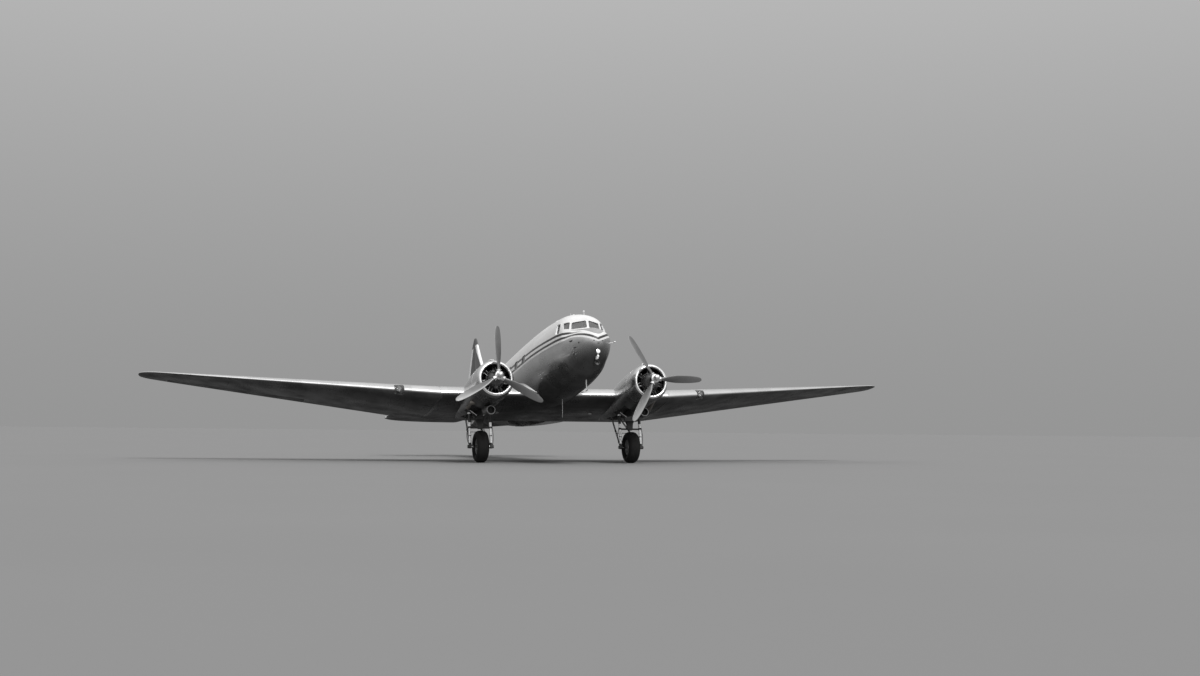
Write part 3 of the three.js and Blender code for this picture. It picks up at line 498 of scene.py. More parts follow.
class Value:
    """A number that varies over a surface, with the usual arithmetic."""

    def __init__(self, graph: "Graph", link: Socket) -> None:
        """Wraps one output socket."""
        self.graph = graph
        self.link = link

    def _math(self, operation: str, *others: Term) -> "Value":
        """Adds one Math node on this value and others."""
        return self.graph.math(operation, self, *others)

    def __add__(self, other: Term) -> "Value":
        """Sum."""
        return self._math("ADD", other)

    __radd__ = __add__

    def __sub__(self, other: Term) -> "Value":
        """Difference."""
        return self._math("SUBTRACT", other)

    def __rsub__(self, other: float) -> "Value":
        """Difference from a number."""
        return self.graph.math("SUBTRACT", other, self)

    def __mul__(self, other: Term) -> "Value":
        """Product."""
        return self._math("MULTIPLY", other)

    __rmul__ = __mul__

    def __truediv__(self, other: Term) -> "Value":
        """Quotient."""
        return self._math("DIVIDE", other)

    def __pow__(self, other: float) -> "Value":
        """Power."""
        return self._math("POWER", other)

    def __abs__(self) -> "Value":
        """Size without sign."""
        return self._math("ABSOLUTE")

    def least(self, other: Term) -> "Value":
        """The smaller of two."""
        return self._math("MINIMUM", other)

    def most(self, other: Term) -> "Value":
        """The larger of two."""
        return self._math("MAXIMUM", other)

    def floor(self) -> "Value":
        """The whole number below."""
        return self._math("FLOOR")

    def rise(self, low: float, high: float) -> "Value":
        """Goes smoothly from 0 at low to 1 at high."""
        ends = {"Value": self, "From Min": low, "From Max": high}
        return self.graph.value("ShaderNodeMapRange", {"interpolation_type": "SMOOTHSTEP"}, ends)

    def near(self, centre: Term, half: float, soft: float = 0.002) -> "Value":
        """Is 1 within half of a centre and 0 beyond, with a soft edge."""
        return 1 - abs(self - centre).rise(half - soft, half + soft)

    def off_line(self, period: float) -> "Value":
        """Distance to the nearest of the lines that repeat at a period."""
        return self._math("PINGPONG", period / 2)


@dataclass(frozen=True)
class Place:
    """The three coordinates of a surface point in its own piece."""

    x: Value
    y: Value
    z: Value
    vector: Socket


class Graph:
    """The shader nodes of one material."""

    def __init__(self, name: str, owners: str = "materials") -> None:
        """Starts an empty material with its output.

        Args:
            name: The material's name.
            owners: The file's list that it is added to.
        """
        self.owner = getattr(bpy.data, owners).new(name)
        self.owner.use_nodes = True
        self.tree = self.owner.node_tree
        self.tree.nodes.clear()

    @classmethod
    def start(cls, name: str) -> tuple["Graph", Place]:
        """Starts a material and reads the surface point."""
        graph = cls(name)
        return graph, graph.place()

    def node(self, kind: str, settings: dict, sockets: dict) -> Sequence[Socket]:
        """Adds a node.

        Args:
            kind: The node's type.
            settings: Its properties, set first.
            sockets: Input names or numbers, with a number, colour, Value or link for each.

        Returns:
            Its outputs.
        """
        made = self.tree.nodes.new(kind)
        for key, value in settings.items():
            setattr(made, key, value)
        for key, value in sockets.items():
            link = value.link if isinstance(value, Value) else value
            if isinstance(link, Socket):
                self.tree.links.new(link, made.inputs[key])
            else:
                made.inputs[key].default_value = link
        return made.outputs

    def value(self, kind: str, settings: dict, sockets: dict, output: int | str = 0) -> Value:
        """Adds a node and wraps one of its outputs."""
        return Value(self, self.node(kind, settings, sockets)[output])

    def math(self, operation: str, *terms: Term) -> Value:
        """Adds a Math node on some terms."""
        return self.value("ShaderNodeMath", {"operation": operation}, dict(enumerate(terms)))

    def levelled(self, kind: str) -> Socket:
        """The piece's own point or normal, turned as if the aircraft stood level."""
        link = self.node("ShaderNodeTexCoord", {}, {})[kind]
        return self.node("ShaderNodeMapping", {}, {"Vector": link, "Rotation": (PARKING_ANGLE, 0, 0)})[0]

    def split(self, link: Socket) -> tuple[Value, Value, Value]:
        """The three coordinates of a vector."""
        outputs = self.node("ShaderNodeSeparateXYZ", {}, {0: link})
        return tuple(Value(self, outputs[i]) for i in range(3))

    def place(self) -> Place:
        """The surface point in the piece's own coordinates, with the aircraft level."""
        link = self.levelled("Object")
        return Place(*self.split(link), link)

    def underside(self) -> Value:
        """Goes from 0 where the surface stands upright to 1 where it faces the ground."""
        return 1 - self.split(self.levelled("Normal"))[2].rise(-0.7, 0.04)

    def noise(self, at: Socket, scale: float, detail: float = 4.0) -> Value:
        """Cloudy noise about one half, of so many clouds for each metre."""
        return self.value("ShaderNodeTexNoise", {}, {"Vector": at, "Scale": scale, "Detail": detail}, "Fac")

    def stretched(self, at: Socket, scale: Point) -> Socket:
        """The same place with each axis scaled."""
        return self.node("ShaderNodeVectorMath", {"operation": "MULTIPLY"}, {0: at, 1: scale})[0]

    def cells(self, *steps: Value) -> Value:
        """A random number for each cell that the whole parts of some values name."""
        joined = self.node("ShaderNodeCombineXYZ", {}, {i: step.floor() for i, step in enumerate(steps)})
        return self.value("ShaderNodeTexWhiteNoise", {}, {"Vector": joined[0]})

    def mix(self, mask: Term, a: object, b: object, way: str = "MIX") -> Socket:
        """Goes from colour a at 0 to colour b, or to their blend, at 1."""
        return self.node("ShaderNodeMix", {"data_type": "RGBA", "blend_type": way}, {0: mask, 6: a, 7: b})[2]

    def grey(self, amount: Value) -> Socket:
        """A grey of an amount."""
        return self.node("ShaderNodeCombineColor", {}, {0: amount, 1: amount, 2: amount})[0]

    def shaded(self, colour: object, amount: Value) -> Socket:
        """Multiplies a colour by a grey amount."""
        return self.mix(1.0, colour, self.grey(amount), "MULTIPLY")

    def bump(self, height: Value, depth: float, strength: float = 1.0) -> Socket:
        """Turns a height from 0 to 1, which stands for a depth in metres, into a normal."""
        return self.node("ShaderNodeBump", {}, {"Height": height, "Distance": depth, "Strength": strength})[0]

    def finish(self, sockets: dict, grime: "Value | None" = None) -> Material:
        """Ends the graph in a surface shader.

        Args:
            sockets: Its inputs.
            grime: Share of the surface given a dull near-black finish, as painted shade with some real oil
                and exhaust stains.

        Returns:
            The material.
        """
        surface = self.node("ShaderNodeBsdfPrincipled", {}, sockets)[0]
        if grime is not None:
            # The dull near-black surface: painted shade, with some real oil and exhaust stains.
            soot = {"Base Color": grey(0.03), "Roughness": 0.85, "Specular IOR Level": 0.08}
            dull = self.node("ShaderNodeBsdfPrincipled", {}, soot)[0]
            surface = self.node("ShaderNodeMixShader", {}, {0: grime, 1: surface, 2: dull})[0]
        self.node("ShaderNodeOutputMaterial", {}, {0: surface})
        return self.owner


class SkyGraph(Graph):
    """The shader nodes of the world."""

    def __init__(self, name: str) -> None:
        """Starts an empty world."""
        super().__init__(name, "worlds")

    def direction(self) -> tuple[Value, Value, Value]:
        """The direction looked in, as x, y and z."""
        return self.split(self.node("ShaderNodeTexCoord", {}, {})["Generated"])

    def glow(self, level: Value) -> bpy.types.World:
        """Ends the graph in a background.

        Args:
            level: Its brightness.

        Returns:
            The world.
        """
        back = self.node("ShaderNodeBackground", {}, {0: self.grey(level)})
        self.node("ShaderNodeOutputWorld", {}, {0: back[0]})
        return self.owner


def grey(level: float, warmth: float = 0.0) -> tuple[float, float, float, float]:
    """A nearly neutral colour."""
    return (level * (1 + warmth), level, level * (1 - warmth), 1.0)


# Finishes


class Seams(Enum):
    """Which two directions the seams of a metal skin follow."""

    HULL = "hull"
    WING = "wing"
    DRUM = "drum"


@dataclass(frozen=True)
class SheetMetal:
    """Bare riveted sheet: tones that change from sheet to sheet, seams, rivets and light scuffs."""

    name: str
    tone: float = 0.62
    roughness: float = 0.3
    seams: Seams = Seams.WING
    sheet: tuple[float, float] = (0.62, 0.48)
    # Width of a seam, the rivets' pitch and radius, and the distance of their row from the seam.
    seam: float = 0.004
    rivet_pitch: float = 0.0405
    rivet: float = 0.006
    rivet_row: float = 0.018
    # Share of the tone that painted shade, with some real oil and exhaust stains, takes from the side that
    # faces the ground.
    soot: float = 0.62
    # Depth of the shallow dents that bend the reflections, against that of the seams.
    dents: float = 4.0
    # Height of the hull's middle, which its seams run round.
    hull_middle: float = 0.95

    def seam_axes(self, graph: Graph, at: Place) -> tuple[Value, Value]:
        """The two coordinates that the seams follow."""
        high = at.z - self.hull_middle if self.seams is Seams.HULL else at.z
        return (at.x, at.y) if self.seams is Seams.WING else (at.y, graph.math("ARCTAN2", high, at.x))

    def relief(self, graph: Graph, at: Place) -> tuple[Value, Value]:
        """Height of seams and rivets, and the tone of each sheet.

        Args:
            graph: The graph that it is added to.
            at: The surface point.

        Returns:
            The height, where 0.5 is plain skin, and a random number for each sheet.
        """
        along, across = self.seam_axes(graph, at)
        pitch_a, pitch_b = self.sheet
        seam_a, seam_b = along.off_line(pitch_a), across.off_line(pitch_b)
        groove = seam_a.least(seam_b).rise(0.0, self.seam)
        lane = abs(seam_a - self.rivet_row)
        stud = across.off_line(self.rivet_pitch)
        rivet = 1 - (lane * lane + stud * stud).rise(0.0, self.rivet**2)
        height = groove * 0.5 + rivet * 0.25
        return height, graph.cells(along / pitch_a + 0.5, across / pitch_b + 0.5)

    def metal(self, graph: Graph, at: Place) -> tuple[Socket, Value, Value, Value]:
        """Colour, roughness, relief and painted underside shade, with some real stains, of the bare metal.

        Args:
            graph: The graph that it is added to.
            at: The surface point.

        Returns:
            The colour, the roughness, the height and the share darkened as painted shade, with some real oil
            and exhaust stains, towards the ground.
        """
        height, tone = self.relief(graph, at)
        cloud = graph.noise(at.vector, 1.3, 5.0)
        scuff = graph.noise(graph.stretched(at.vector, (9.0, 2.0, 9.0)), 3.0, 6.0)
        dent = graph.noise(at.vector, 2.4, 2.0)
        # Darkens the side that faces the ground: painted shade, with some real oil and exhaust stains.
        soot = graph.underside() * (cloud * 0.4 + self.soot - 0.2)
        colour = graph.shaded(grey(self.tone), tone * 0.1 + cloud * 0.3 + height * 0.2 + 0.62)
        rough = tone * 0.06 + scuff * 0.16 + (self.roughness - 0.11)
        return colour, rough, height + dent * self.dents, soot

    def build(self) -> Material:
        """Makes the material.

        Returns:
            The material.
        """
        graph, at = Graph.start(self.name)
        colour, rough, height, soot = self.metal(graph, at)
        return graph.finish({
            "Base Color": colour, "Metallic": 1.0, "Roughness": rough,
            "Normal": graph.bump(height, 0.0012, 0.6),
        }, soot)


@dataclass(frozen=True)
class Livery(SheetMetal):
    """The hull's finish: bare metal below, white crown, two dark stripes that meet in a V on the nose."""

    white: float = 0.62
    stripe: float = 0.03
    glare: float = 0.26
    # Half width of each stripe, and how far below the lower one's middle the white ends.
    lower_half: float = 0.041
    upper_half: float = 0.043
    white_edge: float = 0.11
    # Top and rear of the dark panel in front of the windshield.
    glare_top: float = 1.39
    glare_rear: float = 1.37

    def lower_stripe(self, graph: Graph, at: Place) -> Value:
        """Height of the lower dark stripe's middle all along the hull.

        Args:
            graph: The graph that it is added to.
            at: The surface point.

        Returns:
            The height.
        """
        station = at.y
        nose = graph.math("SQRT", station.most(0.0)) * 0.17 + abs(at.x) * 0.26 + 0.785
        aft = 1.137 - (station - 3.5).most(0.0) * 0.008 + ((station - 11.5).most(0.0) ** 1.6) * 0.0165
        return graph.math("SMOOTH_MIN", nose, aft, 0.02)

    def build(self) -> Material:
        """Makes the material.

        Returns:
            The material.
        """
        graph, at = Graph.start(self.name)
        metal, rough, height, soot = self.metal(graph, at)
        station = at.y
        up = at.z - self.lower_stripe(graph, at)
        gap = 0.2 - graph.math("EXPONENT", station / -1.5) * 0.14
        lower = up.near(0.0, self.lower_half)
        taper = station.rise(0.25, 1.6) * self.upper_half
        dark = lower.most((taper - abs(up - gap)).rise(-0.002, 0.002))
        painted = up.rise(-self.white_edge - 0.002, -self.white_edge + 0.002)
        panel_foot = graph.math("SQRT", station.most(0.0)) * 0.43 + 0.875
        panel = (
            (at.z - panel_foot).rise(-0.002, 0.002)
            * (1 - at.z.rise(self.glare_top - 0.002, self.glare_top + 0.004))
            * (1 - station.rise(self.glare_rear - 0.01, self.glare_rear + 0.01))
        )
        streak = graph.noise(graph.stretched(at.vector, (3.0, 0.7, 5.0)), 1.6, 5.0)
        soiled = streak * 0.22 + 0.88
        striped = graph.mix(dark, grey(self.white, 0.004), grey(self.stripe))
        paint = graph.shaded(graph.mix(panel, striped, grey(self.glare)), soiled)
        # The bare metal keeps its underside darkening, painted shade with some real oil and exhaust stains;
        # the paint has none.
        return graph.finish({
            "Base Color": graph.mix(painted, metal, paint),
            "Metallic": 1 - painted,
            "Roughness": rough * (1 - painted) + (streak * 0.2 + 0.24 + panel * 0.25) * painted,
            "Normal": graph.bump(height, 0.0012, 0.6),
        }, soot * (1 - painted))


@dataclass(frozen=True)
class TailLivery(SheetMetal):
    """The fin and rudder: light, with a dark field that leaves a light leading edge, and a dark tip."""

    white: float = 0.8
    field_tone: float = 0.075
    gloss: float = 0.26
    # The field's lowest height, the tip's, and the light bands in front of the field and behind it.
    field_foot: float = 3.15
    tip_foot: float = 4.7
    edge_band: float = 0.12
    rear_band: float = 0.28
    soft: float = 0.015

    def build(self) -> Material:
        """Makes the material.

        Returns:
            The material.
        """
        graph, at = Graph.start(self.name)
        height, tone = self.relief(graph, at)
        lead = at.z * 0.885 + 13.1
        band = (at.y - lead).rise(self.edge_band, self.edge_band + self.soft)
        floor = (at.z - (at.y - 16.2) * 0.03).rise(self.field_foot - 0.006, self.field_foot + 0.006)
        trail = 21.45 - at.z * 0.69
        rear = (trail - at.y).rise(self.rear_band, self.rear_band + self.soft)
        dark = (band * floor * rear).most(at.z.rise(self.tip_foot, self.tip_foot + self.soft))
        cloud = graph.noise(at.vector, 2.0, 5.0)
        colour = graph.mix(dark, grey(self.white), grey(self.field_tone))
        return graph.finish({
            "Base Color": graph.shaded(colour, cloud * 0.24 + tone * 0.04 + 0.84),
            "Metallic": 0.0, "Roughness": cloud * 0.2 + self.gloss,
            "Normal": graph.bump(height, 0.001, 0.5),
        })


@dataclass(frozen=True)
class Fabric:
    """Doped cloth over ribs, with its weave and rib tapes."""

    name: str
    tone: float = 0.5
    rib_pitch: float = 0.3
    tape_half: float = 0.024

    def build(self) -> Material:
        """Makes the material.

        Returns:
            The material.
        """
        graph, at = Graph.start(self.name)
        cloud = graph.noise(at.vector, 1.5, 5.0)
        weave = graph.noise(graph.stretched(at.vector, (160.0, 160.0, 160.0)), 2.0, 1.0)
        tape = 1 - at.x.off_line(self.rib_pitch).rise(self.tape_half - 0.002, self.tape_half + 0.002)
        # The cloth darkens on the side that faces the ground: painted shade, with some real oil and exhaust
        # stains.
        return graph.finish({
            "Base Color": graph.shaded(grey(self.tone), cloud * 0.24 + tape * 0.03 + 0.86),
            "Metallic": 0.45, "Roughness": cloud * 0.2 + 0.36,
            "Normal": graph.bump(weave * 0.3 + tape, 0.0008, 0.5),
        }, graph.underside() * (cloud * 0.4 + 0.66))


@dataclass(frozen=True)
class Enamel:
    """Plain paint or plated metal, soiled and rubbed brighter in random cloudy patches."""

    name: str
    tone: float
    roughness: float = 0.4
    metallic: float = 0.0
    soil: float = 0.3
    warmth: float = 0.0

    def build(self) -> Material:
        """Makes the material.

        Returns:
            The material.
        """
        graph, at = Graph.start(self.name)
        cloud = graph.noise(at.vector, 3.6, 5.0)
        fine = graph.noise(at.vector, 72.0, 3.0)
        amount = cloud * self.soil + (1 - self.soil * 0.55)
        return graph.finish({
            "Base Color": graph.shaded(grey(self.tone, self.warmth), amount),
            "Metallic": self.metallic,
            "Roughness": cloud * 0.2 + fine * 0.08 + (self.roughness - 0.12),
            "Normal": graph.bump(fine, 0.0006, 0.35),
        })


@dataclass(frozen=True)
class TyreRubber:
    """Tyre rubber with running grooves, side wall rings and dust, about an axle along x."""

    name: str
    radius: float
    width: float
    tone: float = 0.01

    def build(self) -> Material:
        """Makes the material.

        Returns:
            The material.
        """
        graph, at = Graph.start(self.name)
        reach = graph.math("SQRT", at.y * at.y + at.z * at.z)
        tread = reach.rise(self.radius * 0.93, self.radius * 0.95)
        groove = 1 - at.x.off_line(self.width * 0.15).rise(0.003, 0.006)
        rings = 1 - reach.off_line(self.radius * 0.11).rise(0.0015, 0.004)
        height = 1 - groove * tread - rings * (1 - tread) * 0.35
        dust = graph.noise(at.vector, 6.0, 6.0)
        return graph.finish({
            "Base Color": graph.shaded(grey(self.tone, 0.02), tread * 0.25 + dust * 0.7 + 0.5),
            "Roughness": dust * 0.25 + 0.6,
            "Specular IOR Level": 0.2,
            "Normal": graph.bump(height, 0.008, 0.9),
        })


@dataclass(frozen=True)
class Pane:
    """Window glass, tinted dark as painted shade of what lies unlit behind it, with faint smears."""

    name: str
    tone: float
    opacity: float
    ribs: float = 0.0

    def build(self) -> Material:
        """Makes the material.

        Returns:
            The material.
        """
        graph, at = Graph.start(self.name)
        smear = graph.noise(at.vector, 5.0, 4.0)
        sockets = {
            "Base Color": graph.shaded(grey(self.tone), smear * 0.3 + 0.85),
            "Roughness": smear * 0.05 + 0.02,
            "Alpha": smear * 0.06 + self.opacity,
            "IOR": 1.5,
        }
        if self.ribs:
            sockets["Normal"] = graph.bump(at.x.off_line(self.ribs) / self.ribs, 0.004, 0.6)
        return graph.finish(sockets)


@dataclass(frozen=True)
class LampGlass:
    """Pressed lamp glass over a reflector, glowing faintly, with its ribs."""

    name: str
    tone: float = 0.85
    glow: float = 0.15
    rib: float = 0.016

    def build(self) -> Material:
        """Makes the material.

        Returns:
            The material.
        """
        graph, at = Graph.start(self.name)
        rib = at.x.off_line(self.rib) / (self.rib / 2)
        smear = graph.noise(at.vector, 9.0, 3.0)
        colour = graph.shaded(grey(self.tone), rib * 0.12 + smear * 0.12 + 0.8)
        return graph.finish({
            "Base Color": colour, "Emission Color": colour, "Emission Strength": self.glow,
            "Roughness": smear * 0.1 + 0.05, "Normal": graph.bump(rib, 0.002, 0.6),
        })


@dataclass(frozen=True)
class Hide:
    """Seat leather with its grain."""

    name: str
    tone: float = 0.07
    grain: float = 260.0

    def build(self) -> Material:
        """Makes the material.

        Returns:
            The material.
        """
        graph, at = Graph.start(self.name)
        cell = {"Vector": at.vector, "Scale": self.grain}
        edge = graph.value("ShaderNodeTexVoronoi", {"feature": "DISTANCE_TO_EDGE"}, cell, "Distance")
        cloud = graph.noise(at.vector, 6.0, 4.0)
        return graph.finish({
            "Base Color": graph.shaded(grey(self.tone, 0.12), cloud * 0.5 + 0.75),
            "Roughness": cloud * 0.2 + 0.4,
            "Normal": graph.bump(edge.rise(0.0, 0.12), 0.0008, 0.6),
        })


class Palette:
    """Every finish of the aircraft, made once."""

    def __init__(self) -> None:
        """Makes the materials."""
        # Where given, the last number of a sheet metal sets how dark its underside goes: painted shade, with
        # some real oil and exhaust stains.
        self.hull = Livery("hull_livery", tone=0.6, seams=Seams.HULL, sheet=(0.62, 0.33), soot=0.9).build()
        self.wing = SheetMetal("wing_skin", 0.72, soot=0.88).build()
        self.fillet = SheetMetal("fillet_skin", 0.74, 0.24, sheet=(2.0, 0.62)).build()
        self.nacelle = SheetMetal("nacelle_skin", 0.68, 0.3, Seams.DRUM, (0.55, 0.5), soot=0.84).build()
        self.duct = SheetMetal("duct_skin", 0.22, 0.4, Seams.DRUM, (0.4, 0.9), soot=0.8).build()
        self.cowl = SheetMetal("cowl_skin", 0.72, 0.24, Seams.DRUM, (0.5, pi / 3), soot=0.84).build()
        self.lip = Enamel("cowl_lip", 0.86, 0.28, 1.0, 0.12).build()
        # Near-white gear legs: bright paint, its tone raised as a painted reflection of the sky.
        self.strut = Enamel("strut_paint", 0.9, 0.3, 0.1, 0.15).build()
        self.fin = TailLivery("fin_livery", sheet=(0.7, 0.5)).build()
        self.rudder = TailLivery("rudder_livery", sheet=(0.7, 0.4), gloss=0.4).build()
        self.fabric = Fabric("control_fabric").build()
        self.chrome = Enamel("plated_steel", 0.72, 0.18, 1.0, 0.15).build()
        self.silver = Enamel("silver_paint", 0.6, 0.34, 0.55).build()
        self.disc = Enamel("wheel_paint", 0.2, 0.4, 0.3, 0.35).build()
        self.steel = Enamel("bare_steel", 0.34, 0.4, 0.9, 0.4).build()
        # Black paint, also used as painted shade inside vents, holes and intake mouths.
        self.black = Enamel("black_paint", 0.02, 0.45, 0.0, 0.5).build()
        self.case = Enamel("gear_case", 0.07, 0.42, 0.2, 0.5).build()
        self.fins = Enamel("cylinder_fins", 0.03, 0.5, 0.3, 0.5).build()
        self.rod = Enamel("rod_metal", 0.3, 0.35, 0.9, 0.4).build()
        # Near-black faces that close cut pockets, slots, wells and gaps: painted shade.
        self.cavity = Enamel("cavity_paint", 0.05, 0.6, 0.0, 0.4).build()
        self.sash = Enamel("window_sash", 0.36, 0.4, 0.3).build()
        self.blade = Enamel("blade_metal", 0.15, 0.42, 0.6, 0.35).build()
        self.lit = LampGlass("lamp_glass").build()
        self.exhaust = Enamel("burnt_steel", 0.16, 0.5, 0.8, 0.6, 0.08).build()
        self.white = Enamel("white_paint", 0.8, 0.35, 0.0, 0.15).build()
        self.dial = Enamel("dial_white", 0.6, 0.4, 0.0, 0.1).build()
        self.cockpit = Enamel("cockpit_paint", 0.13, 0.55).build()
        # These panes are dark and mostly opaque: painted shade of the unlit rooms behind them.
        self.glass = Pane("window_glass", 0.16, 0.6).build()
        self.side_glass = Pane("side_window_glass", 0.05, 0.8).build()
        self.cabin_glass = Pane("cabin_glass", 0.1, 0.93).build()
        self.lens = Pane("lamp_lens", 0.08, 0.4, 0.022).build()
        self.hide = Hide("seat_hide").build()


# The hull


@dataclass
class Hull:
    """Nose, cabin and tail cone, with their windows and fittings."""

    palette: Palette
    belly_squareness: float = 1.9
    # Columns: station, half width, crown, keel, height of the widest line, aft sweep, upper squareness.
    rows: Points = (
        (0.0, 0.03, 0.81, 0.73, 0.77, 0, 2.0), (0.03, 0.17, 0.955, 0.575, 0.775, 0, 2.0),
        (0.12, 0.34, 1.085, 0.39, 0.78, 0.05, 2.05), (0.28, 0.5, 1.19, 0.195, 0.79, 0.12, 2.05),
        (0.55, 0.66, 1.29, 0.0, 0.805, 0.3, 2.15), (1.04, 0.8, 1.4, -0.19, 0.82, 0.55, 2.55),
        (1.18, 0.838, 1.8, -0.225, 0.825, 0.55, 3.3), (1.55, 0.908, 1.995, -0.28, 0.835, 0.4, 3.05),
        (2.2, 0.98, 2.16, -0.325, 0.85, 0.15, 2.55), (3.15, 1.09, 2.27, -0.35, 0.88, 0, 2.2),
        (4.4, 1.19, 2.33, -0.36, 0.92, 0, 2.15), (5.6, 1.22, 2.34, -0.35, 0.94, 0, 2.15),
        (6.6, 1.23, 2.34, -0.28, 0.96, 0, 2.15), (9.35, 1.22, 2.31, -0.195, 0.99, 0, 2.15),
        (11.5, 1.14, 2.24, 0.05, 1.08, 0, 2.1), (13.5, 0.95, 2.14, 0.38, 1.22, 0, 2.1),
        (15.5, 0.67, 2.0, 0.72, 1.37, 0, 2.05), (17.34, 0.38, 1.82, 1.02, 1.44, 0, 2.0),
        (17.42, 0.37, 1.59, 1.03, 1.33, 0, 2.0), (18.6, 0.19, 1.54, 1.23, 1.39, 0, 2.0),
        (19.15, 0.06, 1.48, 1.37, 1.425, 0, 2.0),
    )
    sides: int = 96
    # Spans of even sections: start, end, count. In front of the nose tip's end they get closer together.
    nose_tip: float = 0.55
    nose_spans: Points = ((0.55, 1.0, 8), (1.0, 1.6, 22), (1.6, HULL_BREAK, 14))
    cabin_spans: Points = ((HULL_BREAK, 9.35, 40), (9.35, 17.3, 44), (17.3, 17.46, 8), (17.46, 19.15, 14))
    # The cockpit's room: stations, how far it runs past the break, the wall round it and the floor's height.
    room_stations: Sequence[float] = (1.07, 1.1, 1.18, 1.3, 1.45, 1.6, 1.9, 2.3, 2.8, HULL_BREAK, HULL_BREAK)
    room_end: float = 0.2
    wall: float = 0.06
    floor: float = 0.38
    # Corners of the cockpit panes at port, each as x, station, height.
    panes: Sequence[tuple[str, Points]] = (
        ("windshield", (
            (0.038, 1.07, 1.425), (0.522, 1.364, 1.415), (0.47, 1.416, 1.662), (0.038, 1.154, 1.702),
        )),
        ("side_window", (
            (0.572, 1.405, 1.433), (0.742, 1.575, 1.458), (0.688, 1.668, 1.688), (0.528, 1.44, 1.692),
        )),
        ("rear_side_window", (
            (0.818, 1.72, 1.34), (0.868, 2.0, 1.36), (0.747, 2.08, 1.735), (0.706, 1.8, 1.705),
        )),
    )
    cabin_windows: int = 7
    cabin_first: float = 5.24
    cabin_pitch: float = 0.99
    cabin_size: tuple[float, float] = (0.4, 0.31)
    cabin_level: float = 1.235
    cabin_bend: float = 0.22
    # Wing root fillet: station and radius.
    fillet: Points = (
        (5.0, 0.04), (5.5, 0.15), (6.3, 0.26), (7.4, 0.38), (8.5, 0.48), (9.3, 0.5), (9.9, 0.33),
        (10.5, 0.09),
    )
    # The two lamps under the nose: heights, and profiles as radius and station.
    lamp_levels: tuple[float, float] = (0.36, 0.21)
    lamp_bowl: Points = (
        (0.0, 0.066), (0.034, 0.068), (0.054, 0.073), (0.062, 0.084), (0.064, 0.12), (0.064, 0.26),
    )
    lamp_rim: Points = ((0.063, 0.075), (0.072, 0.077), (0.076, 0.09), (0.08, 0.26), (0.066, 0.26))
    lower_lamp: Points = ((0.0, 0.104), (0.024, 0.107), (0.034, 0.12), (0.034, 0.33), (0.0, 0.33))
    # The round vent and the small holes in the nose, as radius and station.
    vent: Points = (
        (0.0, 0.27), (0.05, 0.25), (0.062, 0.205), (0.078, 0.2), (0.086, 0.22), (0.086, 0.42), (0.0, 0.42),
    )
    hole: Points = ((0.0, 0.004), (0.02, 0.004), (0.024, 0.012), (0.024, 0.05), (0.0, 0.05))
    # Pitot head: station of the mast, height of the tube.
    pitot_station: float = 1.57
    pitot_level: float = -0.66
    # Housing of the loop aerial: station, half width, half height; and its middle's height.
    housing: Points = (
        (4.35, 0.004, 0.004), (4.36, 0.025, 0.03), (4.42, 0.08, 0.07), (4.6, 0.115, 0.1), (4.85, 0.1, 0.09),
        (5.05, 0.05, 0.05), (5.1, 0.02, 0.02),
    )
    housing_level: float = 2.47
    # Whip aerials on the centre line: station, foot, top, radius, and the radius of the bead at its tip.
    whips: Points = (
        (1.46, 1.93, 2.1, 0.008, 0.028), (3.0, 2.24, 2.43, 0.007, 0.0), (6.72, 2.32, 2.6, 0.011, 0.0),
        (4.5, -0.34, -1.0, 0.009, 0.0),
    )
    # Small vents on the starboard side of the nose: station and height of the ray's foot, length, height.
    nose_marks: Points = ((1.2, 0.88, 0.26, 0.045), (0.75, 0.736, 0.05, 0.05), (1.0, 0.615, 0.17, 0.03))

    def ring(self, row: Sequence[float], inset: float = 0.0) -> Ring:
        """One section of the hull.

        Args:
            row: Station and the other columns of the table.
            inset: How far inside the surface it lies.

        Returns:
            Its points.
        """
        station, half, crown, keel, wide, sweep, square = row
        angle = 2 * np.pi * np.arange(self.sides) / self.sides
        c, s = np.cos(angle), np.sin(angle)
        c[abs(c) < 1e-9] = 0
        power = 2 / np.where(s > 0, square, self.belly_squareness)
        height = np.where(s > 0, crown - wide - inset, wide - keel - inset)
        x = np.sign(c) * abs(c) ** power * (half - inset)
        z = wide + np.sign(s) * abs(s) ** power * height
        return list(zip(x, station + sweep * abs(x), z))

    def rings(self, stations: Sequence[float], inset: float = 0.0) -> list[Ring]:
        """Sections at several stations, so far inside the surface."""
        return [self.ring((s, *row), inset) for s, row in zip(stations, from_table(self.rows, stations))]

    def half_width(self, station: float, level: float) -> float:
        """Half width of the hull.

        Args:
            station: Where, along the hull.
            level: The height.

        Returns:
            The distance from the middle to the surface.
        """
        half, crown, keel, wide, _, square = from_table(self.rows, [station])[0]
        reach = crown - wide if level > wide else wide - keel
        power = square if level > wide else self.belly_squareness
        part = min(abs(level - wide) / reach, 1.0)
        return half * (1 - part**power) ** (1 / power)

    def nose_stations(self) -> list[float]:
        """Stations of the nose, closer together where the form turns."""
        return [self.nose_tip * (1 - cos(pi / 2 * i / 16)) for i in range(16)] + spread(self.nose_spans)

